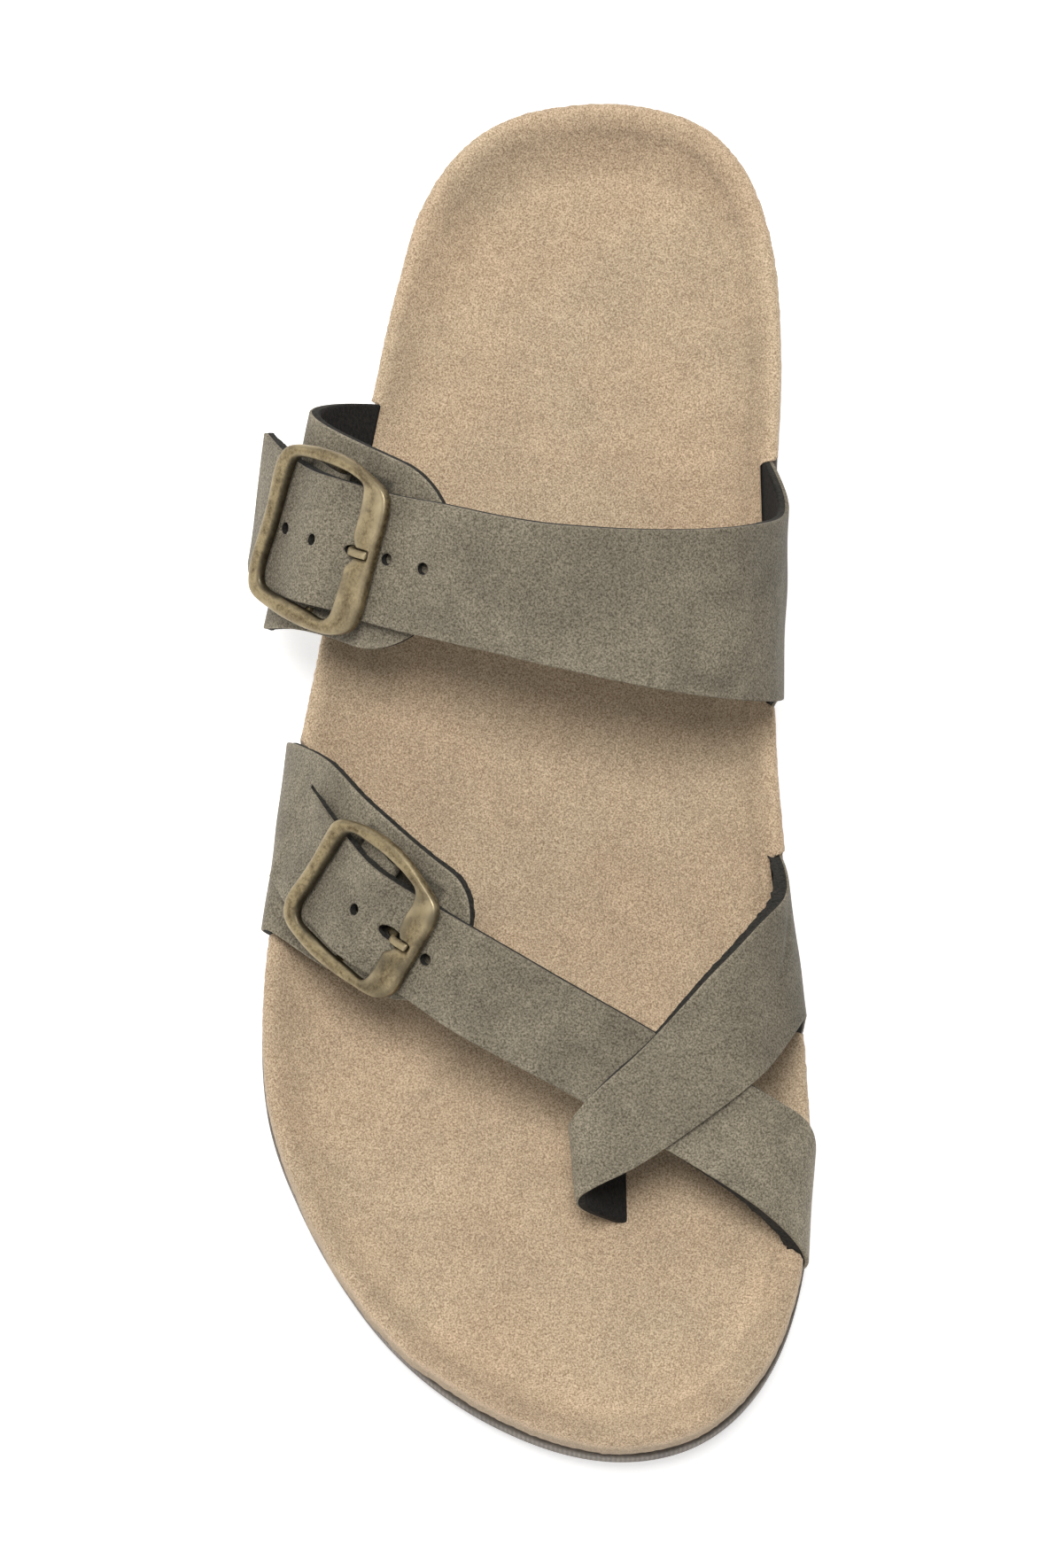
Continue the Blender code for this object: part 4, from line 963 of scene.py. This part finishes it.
def makeFootbed():
    # each ring has a share of the side's height or a depth from the rim, and its marks
    shape, marks = footbedShape, footbedMarks
    edge, core, side = footbedEdge(), soleCore, soleSide
    reach = np.linalg.norm(core - edge, axis=1)
    low = outsoleTop(edge[:, 1]) + soleShape["seamGap"]
    top = footbedTop(edge[:, 1], np.zeros(len(edge)), side)
    foot = inset(edge, core, shape["chamfer"])
    blank = np.zeros(len(edge))
    rings = [np.column_stack([plan, outsoleTop(plan[:, 1]) + soleShape["seamGap"]]) for plan in (core, foot)]
    # painted shade at the foot of the side, darker towards the bottom of the side and more so at the toe;
    # painted highlight up the side by the rim
    shadeAndSoil, paintedHighlight = [blank, blank + marks["foot"]], [blank, blank]
    least = marks["highlightLeast"]
    heelward = least + (1 - least) * easedTo(*marks["highlightY"], edge[:, 1])
    toeward = easedTo(*marks["toeY"], edge[:, 1])
    rimLight = np.maximum(heelward, marks["toeLight"] * toeward)
    patchSize, patchLeast, patchMore = marks["patches"]
    patchy = patchLeast + patchMore * ripple(np.column_stack([soleEdge, blank]), patchSize, seed=1.0)
    rise = top - low - shape["chamfer"]
    for share in np.linspace(0, 1, shape["sideRows"] + 1)[:-1]:
        plan = inset(edge, core, -shape["sideBulge"] * np.sin(np.pi * share))
        rings.append(np.column_stack([plan, low + shape["chamfer"] + rise * share]))
        under = 1 - share
        shadeAndSoil.append(marks["side"] * under + marks["toeSide"] * toeward * smooth(marks["toeSteep"] * under))
        paintedHighlight.append(rimLight * smooth(1 - marks["rimSteep"] * under))
    last = np.minimum(shape["insets"][-1], reach * shape["reachShare"])
    depths = [np.minimum(depth, reach * shape["reachShare"]) for depth in shape["insets"]]
    depths += [last + (reach - last) * share for share in np.linspace(0, 1, shape["coreSteps"] + 1)[1:]]
    grooveDepth, grooveRise, grooveFall, grooveDark = marks["groove"]
    slopeY, slopeRun = marks["slopeY"]
    lipFrom, lipDepth, lipLight = marks["toeLip"]
    for depth in depths:
        plan = inset(edge, core, depth[:, None])
        y = plan[:, 1]
        rings.append(np.column_stack([plan, footbedTop(y, depth, side)]))
        # painted shade in the fold inside the medial rim and in the groove at the foot of the heel's rim;
        # soil in patches in the band by the toe's edge
        fold = spot(depth, marks["fold"]) * easedTo(*marks["foldSide"], side)
        groove = smooth(1 + (depth - grooveDepth) / grooveRise) * easedTo(*marks["grooveY"], y)
        groove = grooveDark * groove * np.exp(-np.maximum(depth - grooveDepth, 0) / grooveFall)
        toeEnd = easedTo(*marks["toeEndY"], y)
        band = spot(depth, marks["band"], 4) * toeEnd * patchy * smooth(depth / marks["bandFrom"])
        shadeAndSoil.append(np.maximum(fold + groove, band))
        # painted highlight: paler along the rim, on the lateral slope where it lifts the slope's shade, on
        # the toe's shelf and along the toe's lip
        slope = spot(depth, marks["slope"]) * bell(y - slopeY, slopeRun, 4) * (1 - side)
        shelf = spot(depth, marks["shelf"]) * toeEnd
        lip = lipLight * toeward * smooth(lipFrom - depth / lipDepth)
        rim = heelward * smooth(marks["highlightReach"] - depth / marks["highlightDepth"])
        paintedHighlight.append(np.max([rim, slope, shelf, lip], axis=0))
    points = np.vstack(rings)
    for strap in (instepStrap, instepFlap, frontFlap, toeStrap, frontStrap):
        tuckBehind(points, strap, strap is not frontStrap)
    layers = {"shadeAndSoil": np.concatenate(shadeAndSoil), "paintedHighlight": np.concatenate(paintedHighlight)}
    makePiece("footbedSuede", "footbed", points,
              quadsOf(gridOf(len(rings), len(edge)), True), [suede], layers)


makeFootbed()


# Outsole: finely ribbed side and a guessed wavy tread

outsoleShape = {
    "chamfer": 0.8, "sideRows": 8, "ribbed": (0.1, 0.9), "topSoft": (0.35, 0.9, 0.1), "topInset": 3.0,
    "drawnIn": [(-118, 0), (-108, 0.25), (-95, 0.6), (-76, 0.6), (-62, 0.05), (-45, -0.1), (0, 0)],
    "treadPitch": 6.0, "treadDepth": 0.9, "treadWave": 4.0, "treadWaveLength": 24.0,
    "treadWall": (0.35, 0.3), "treadInset": (5, 1), "treadRings": 60,
}


def tread(plan, depth):
    # share of the depth in grooves across the foot: the top of a cosine along it, waved by a sine across it,
    # and faded out towards the edge
    shape = outsoleShape
    wave = shape["treadWave"] * np.sin(2 * np.pi * plan[:, 0] / shape["treadWaveLength"])
    turn = np.cos(2 * np.pi * (plan[:, 1] + wave) / shape["treadPitch"])
    return easedTo(*shape["treadWall"], turn) * easedTo(*shape["treadInset"], depth)


def makeOutsole():
    # rings from the spine out under the foot, up the side and back to the spine on top
    shape = outsoleShape
    drawnIn = fromTable(shape["drawnIn"], outsoleEdge[:, 1]) * (1 - soleSide)
    edge, core = inset(outsoleEdge, soleCore, drawnIn[:, None]), soleCore
    reach = np.linalg.norm(core - edge, axis=1)
    blank = np.zeros(len(edge))
    rings, sides, grooves = [], [], []
    for share in np.linspace(1, 0, shape["treadRings"] + 1):
        depth = shape["chamfer"] + (reach - shape["chamfer"]) * share
        plan = inset(edge, core, depth[:, None])
        grooves.append(tread(plan, depth))
        rings.append(np.column_stack([plan, groundHeight(plan[:, 1]) + shape["treadDepth"] * grooves[-1]]))
        sides.append(blank)
    low = groundHeight(edge[:, 1]) + shape["chamfer"]
    high = outsoleTop(edge[:, 1])
    softDepth, *softFrom = shape["topSoft"]
    ribLow, ribHigh = shape["ribbed"]
    for share in np.linspace(0, 1, shape["sideRows"] + 1):
        plan = inset(edge, core, softDepth * easedTo(*softFrom, share))
        rings.append(np.column_stack([plan, low + (high - low) * share]))
        sides.append(blank + (ribLow < share < ribHigh))
    for plan in (inset(edge, core, shape["topInset"]), core):
        rings.append(np.column_stack([plan, outsoleTop(plan[:, 1])]))
        sides.append(blank)
    grooves += [blank] * (len(rings) - len(grooves))
    points = np.vstack(rings)
    uv = np.column_stack([np.tile(walked(edge), len(rings)), points[:, 2]])
    # sunk marks the tread's grooves, which take painted shade
    layers = {"side": np.concatenate(sides), "sunk": np.concatenate(grooves)}
    makePiece("outsoleRubber", "outsole", points,
              quadsOf(gridOf(len(rings), len(edge)), True), [rubber], layers, uv=uv)


makeOutsole()


# Buckles: a rounded section carried round between two barrel outlines, a rod and a prong

frameShape = {
    "thick": 2.2, "sectionPowers": (2.7, 4.6), "plateX": (6.5, 5), "around": 420, "sectionSteps": 44,
    "barRadius": 0.8, "barDrop": 2.6, "barSteps": 60, "barSides": 20, "barEnd": 0.3, "barDark": 0.4,
    "barBend": [(0, -0.3), (0.3, -1.4)], "barFoot": [(1.4, 0.25), (3.2, 0)],
    "notchHalf": 2.3, "notchDepth": 1.4, "yawX": 6.0,
    "grooveHalf": 0.95, "grooveDepth": 1.0, "grooveMore": 0.75, "grooveSoft": 0.35, "grooveBack": 1.0,
}
frameMarks = {
    "edgeWearAndGlint": (1.5, 1.5), "wearAndGlintPatches": (9, 0.55, 0.3), "corner": (3, 0.8, 2.6, 0.2),
    "blotches": (5, 0.55, 0.6), "lateral": (5, 1), "innerDark": (2, 0.7), "innerDarkTop": 1.1,
}
prongShape = {
    "tall": 0.46, "wide": 0.76, "power": 3.0, "gap": 0.3, "endRound": 0.3, "endHeight": 0.66,
    "steps": 90, "sides": 28, "hook": (150, 180, 215, 250, 285, 315),
    "rise": [(4.2, -3.7), (6.2, -3.1), (7.4, -1.6), (8.2, 0.1), (9.4, 0.62)],
    "shiftX": (3, 3), "flatX": (4.5, 2), "tipX": (-1, 0.8), "wearAndGlint": (0.3, 0.5), "hookDark": 0.5,
}
loopShape = {
    "half": 0.22, "power": 7.0, "slot": 2.2, "endRound": 0.2, "steps": 110, "sides": 40, "cutDepth": 0.05,
    "path": [(-8.5, -4.75), (-4, -4.62), (-1.5, -4.15), (0, -3.72), (0.8, -3.4), (1.13, -2.6),
             (0.8, -1.82), (0, -1.5), (-1.6, -1.72), (-4.5, -2.7), (-8.5, -4)],
}


def signedPower(value, power):
    # a power of the size of a value, with the value's sign
    return np.sign(value) * np.abs(value) ** power


def sweep(path, wide, tall, sides, sideways, power=2.0):
    # a section |a/w|^p + |b/t|^p = 1 carried along a path; sizes that end in nought close its ends
    upright = unit(np.cross(unit(np.gradient(path, axis=0)), sideways))
    turn = np.linspace(0, 2 * np.pi, sides, endpoint=False)
    across = signedPower(np.cos(turn), 2 / power)
    up = signedPower(np.sin(turn), 2 / power)
    ring = (across[None, :, None] * sideways * wide[:, None, None]
            + up[None, :, None] * upright[:, None, :] * tall[:, None, None])
    return (path[:, None, :] + ring).reshape(-1, 3), quadsOf(gridOf(len(path), sides), True)


def roundedEnds(path, radius, steps=7):
    # extra path points and sizes that close both ends with a quarter circle
    turn = np.linspace(0, np.pi / 2, steps + 1)[1:]
    size = np.append(np.cos(turn[:-1]), 0.0)
    further = (np.sin(turn) * radius)[:, None]
    start = path[0] + unit(path[0] - path[1]) * further
    end = path[-1] + unit(path[-1] - path[-2]) * further
    return np.vstack([start[::-1], path, end]), np.concatenate([size[::-1], np.ones(len(path)), size])


def makeBar(seat):
    # a rod from rail to rail, dropped under the frame between them
    shape = frameShape
    drop = -shape["barDrop"]
    route = [(0, seat - y, z) for y, z in shape["barBend"]]
    route += [(0, seat - y, drop + z) for y, z in shape["barFoot"]]
    route.append((0, 0, drop))
    route += [(0, -y, z) for _, y, z in route[-2::-1]]
    path, size = roundedEnds(smoothPath(route, shape["barSteps"]), shape["barEnd"])
    radius = size * shape["barRadius"]
    return sweep(path, radius, radius, shape["barSides"], np.array([1.0, 0, 0]))


def makeFrame(name):
    # a section between the outer and the window outline, flat on the medial bar and rounder on the rails
    shape, marks = frameShape, frameMarks
    buckle = buckles[name]
    outline = closedSpline(buckle["outline"], shape["around"])
    outer, inner = outline[:, :2], outline[:, 2:]
    medialEdge = inner[:, 0].max()
    prongY = buckle["prongY"] + buckle["prongYaw"] * (medialEdge - shape["yawX"])
    notch = bell(inner[:, 1] - prongY, shape["notchHalf"], 4) * (inner[:, 0] > 0)
    inner[:, 0] += shape["notchDepth"] * notch
    tilt = np.linspace(0, 2 * np.pi, shape["sectionSteps"], endpoint=False)
    plate = easedTo(*shape["plateX"], outer[:, 0])
    low, high = shape["sectionPowers"]
    power = 2 / (low + (high - low) * plate)[:, None]
    wide = signedPower(np.cos(tilt), power)
    tall = signedPower(np.sin(tilt), power)
    plan = (outer + inner)[:, None] / 2 + (outer - inner)[:, None] / 2 * wide[..., None]
    height = tall * shape["thick"] / 2
    grooveEnd = medialEdge + buckle["prongReach"] + shape["grooveMore"]
    along = smooth((grooveEnd - plan[..., 0]) / shape["grooveSoft"])
    along = along * (plan[..., 0] > medialEdge - shape["grooveBack"])
    offGroove = plan[..., 1] - buckle["prongY"] - buckle["prongYaw"] * (plan[..., 0] - shape["yawX"])
    groove = bell(offGroove, shape["grooveHalf"], 6) * along * (height > 0)
    height = height - shape["grooveDepth"] * groove
    points = np.concatenate([plan, height[..., None]], -1).reshape(-1, 3)
    index = gridOf(len(outer), len(tilt))
    quads = quadsOf(np.vstack([index, index[:1]]), True)

    # paler along the tops of the bars' edges, in patches: wear together with painted highlight
    edgePower, edgeGain = marks["edgeWearAndGlint"]
    wearAndGlint = np.clip(np.abs(wide * tall) ** edgePower * (tall > 0) * edgeGain, 0, 1) * (1 - groove)
    size, least, more = marks["wearAndGlintPatches"]
    wearAndGlint = wearAndGlint * (least + more * ripple(points, size).reshape(wearAndGlint.shape))
    # a painted highlight at the medial corner on the heel side
    row, back, reach, bright = marks["corner"]
    corner = np.array(buckle["outline"])[row, :2] - back
    wearAndGlint += bright * np.exp(-((plan - corner) ** 2).sum(axis=-1) / reach ** 2) * (tall > 0)
    size, least, more = marks["blotches"]
    blotch = smooth(least + more * ripple(points, size, seed=3.0).reshape(wearAndGlint.shape))
    run, start = marks["lateral"]
    lateral = smooth(-outer[:, 0] / run - start)[:, None]
    # darker on the window's inner walls, most on the lateral bar, fading over the top: painted shade together
    # with patina; darker in the prong's groove: painted shade; the plate's blotches are tarnish
    gain, darkFrom = marks["innerDark"]
    shadeAndTarnish = smooth(-wide * gain - darkFrom + (darkFrom - buckle["lateralDarkFrom"]) * lateral)
    shadeAndTarnish = shadeAndTarnish * smooth(marks["innerDarkTop"] - tall * (1 - lateral))
    shadeAndTarnish += groove + buckle["tarnish"] * plate[:, None] * blotch

    rod, rodQuads = makeBar(buckle["seat"])
    # the rod is evenly darker
    layers = {"wearAndGlint": np.clip(np.append(wearAndGlint.ravel(), np.zeros(len(rod))), 0, 1),
              "shadeAndTarnish": np.clip(np.append(shadeAndTarnish.ravel(), np.full(len(rod), shape["barDark"])), 0, 1)}
    makePiece(name + "Frame", name + "_buckle_frame", toShoe(np.vstack([points, rod]), name),
              np.vstack([quads, rodQuads + len(points)]), [brass], layers)


def makeProng(name):
    # a hook round the bar, then a flat tongue up through the strap's hole to the notch
    shape = prongShape
    buckle = buckles[name]
    hook = frameShape["barRadius"] + shape["gap"] + shape["tall"]
    turn = np.radians(shape["hook"])
    route = [(x, 0, z) for x, z in zip(hook * np.cos(turn), hook * np.sin(turn) - frameShape["barDrop"])]
    route += [(x, 0, z) for x, z in shape["rise"]]
    medialEdge = np.array(buckle["outline"])[:, 2].max()
    route.append((medialEdge + buckle["prongReach"] - buckle["prongShift"], 0, shape["endHeight"]))
    path, size = roundedEnds(smoothPath(route, shape["steps"]), shape["endRound"])
    path = path + (0, buckle["prongY"], 0)
    path[:, 0] += buckle["prongShift"] * easedTo(*shape["shiftX"], path[:, 0])
    path[:, 1] += buckle["prongYaw"] * np.maximum(path[:, 0] - frameShape["yawX"], 0)
    flat = easedTo(*shape["flatX"], path[:, 0])
    wide = size * (shape["tall"] + (shape["wide"] - shape["tall"]) * flat)
    points, quads = sweep(path, wide, size * shape["tall"], shape["sides"],
                          np.array([0, 1.0, 0]), shape["power"])
    # paler on the flat tongue and its tip: wear together with painted highlight; darker on the hook
    tip = easedTo(*shape["tipX"], path[:, 0] - path[:, 0].max())
    flatWearAndGlint, tipWearAndGlint = shape["wearAndGlint"]
    layers = {"wearAndGlint": np.repeat(flat * flatWearAndGlint + tip * tipWearAndGlint, shape["sides"]),
              "shadeAndTarnish": np.repeat(shape["hookDark"] * (1 - flat), shape["sides"])}
    makePiece(name + "Prong", name + "_buckle_prong", toShoe(points, name),
              quads, [brass], layers)


def makeLoop(name):
    # a thin band from the flap round the bar and back, in two parts beside the prong
    shape = loopShape
    end = buckles[name]["loopEnd"]
    route = [(x, 0, z) for x, z in shape["path"]]
    path, size = roundedEnds(smoothPath(route, shape["steps"]), shape["endRound"])
    half = size * (end - shape["slot"]) / 2
    bands = []
    for sign in (1, -1):
        middle = sign * (end + shape["slot"]) / 2
        band, faces = sweep(path + (0, middle, 0), half, size * shape["half"], shape["sides"],
                            np.array([0, 1.0, 0]), shape["power"])
        bands.append(band)
    points = np.vstack(bands)
    quads = np.vstack([faces, faces + len(band)])
    cut = np.abs(points[quads][:, :, 1]).mean(axis=1) > end - shape["cutDepth"]
    blank = np.zeros(len(points))
    makePiece(name + "Loop", None, toShoe(points, name), quads, [nubuck, cutEdge],
              {"rim": blank, "paintedShade": blank}, cut.astype(int))


for buckleName in buckles:
    makeFrame(buckleName)
    makeProng(buckleName)
    makeLoop(buckleName)


# Stage: pale floor, soft light from the heel side, and the camera over the shoe

stageLook = {
    "floorSize": 8.0, "floorColours": ((0.92, 0.92, 0.92, 1), (0.9, 0.9, 0.9, 1)), "floorNoise": 60.0,
    "floorSockets": {"Roughness": 0.9, "Specular IOR Level": 0.1, "Emission Color": (1, 1, 1, 1),
                     "Emission Strength": 0.52},
    "worldColour": (1, 1, 1, 1), "worldStrength": 0.33,
    "lights": {  # place, size and power
        "key": ((-0.1, 0.12, 1.9), 0.75, 27.0), "fill": ((0.2, 1.3, 1.5), 1.6, 5.0),
        "side": ((-1.6, -0.1, 0.5), 1.2, 5.5)},
}


def makeStage():
    # a floor that glows a little, an even white room and three round lights that face the origin
    look = stageLook
    half = look["floorSize"] / 2
    corners = [(-half, -half, 0), (half, -half, 0), (half, half, 0), (-half, half, 0)]
    mesh = bpy.data.meshes.new("paleFloor")
    mesh.from_pydata(corners, [], [(0, 1, 2, 3)])
    material, add, setShader = startMaterial("palePaper", look["floorSockets"])
    paper = noiseOf(add, turnedPlace(add), look["floorNoise"])
    setShader("Base Color", mixOf(add, paper, *look["floorColours"]))
    mesh.materials.append(material)
    floor = bpy.data.objects.new("paleFloor", mesh)
    bpy.context.scene.collection.objects.link(floor)
    world = bpy.data.worlds.new("softRoom")
    world.use_nodes = True
    background = world.node_tree.nodes["Background"]
    background.inputs["Color"].default_value = look["worldColour"]
    background.inputs["Strength"].default_value = look["worldStrength"]
    bpy.context.scene.world = world
    for name, (place, size, power) in look["lights"].items():
        light = bpy.data.lights.new(name + "Light", "AREA")
        light.shape = "DISK"
        light.size = size
        light.energy = power
        lamp = bpy.data.objects.new(name + "Light", light)
        lamp.location = place
        lamp.rotation_euler = (-Vector(place)).to_track_quat("-Z", "Y").to_euler()
        bpy.context.scene.collection.objects.link(lamp)
    bpy.context.scene.view_settings.view_transform = "Standard"


cameraView = {"target": (0.0, 0.0, 20.0), "distance": 1200.0, "tilt": 14.0, "pixelsPerMm": 6.025,
              "imageHeight": 1770, "sensor": 36.0}


def makeCamera():
    # the lens gives the wanted pixels for each millimetre at the target's distance
    view = cameraView
    tilt = np.radians(view["tilt"])
    target = (np.array(view["target"]) + originShift) * mm
    back = np.array([0, -np.sin(tilt), np.cos(tilt)])
    data = bpy.data.cameras.new("photoCamera")
    data.sensor_width = view["sensor"]
    data.lens = view["pixelsPerMm"] * view["distance"] * view["sensor"] / view["imageHeight"]
    camera = bpy.data.objects.new("photoCamera", data)
    camera.location = target + back * view["distance"] * mm
    camera.rotation_euler = Vector((-back).tolist()).to_track_quat("-Z", "Y").to_euler()
    bpy.context.scene.collection.objects.link(camera)
    bpy.context.scene.camera = camera


makeStage()
makeCamera()
print("stage and camera set")
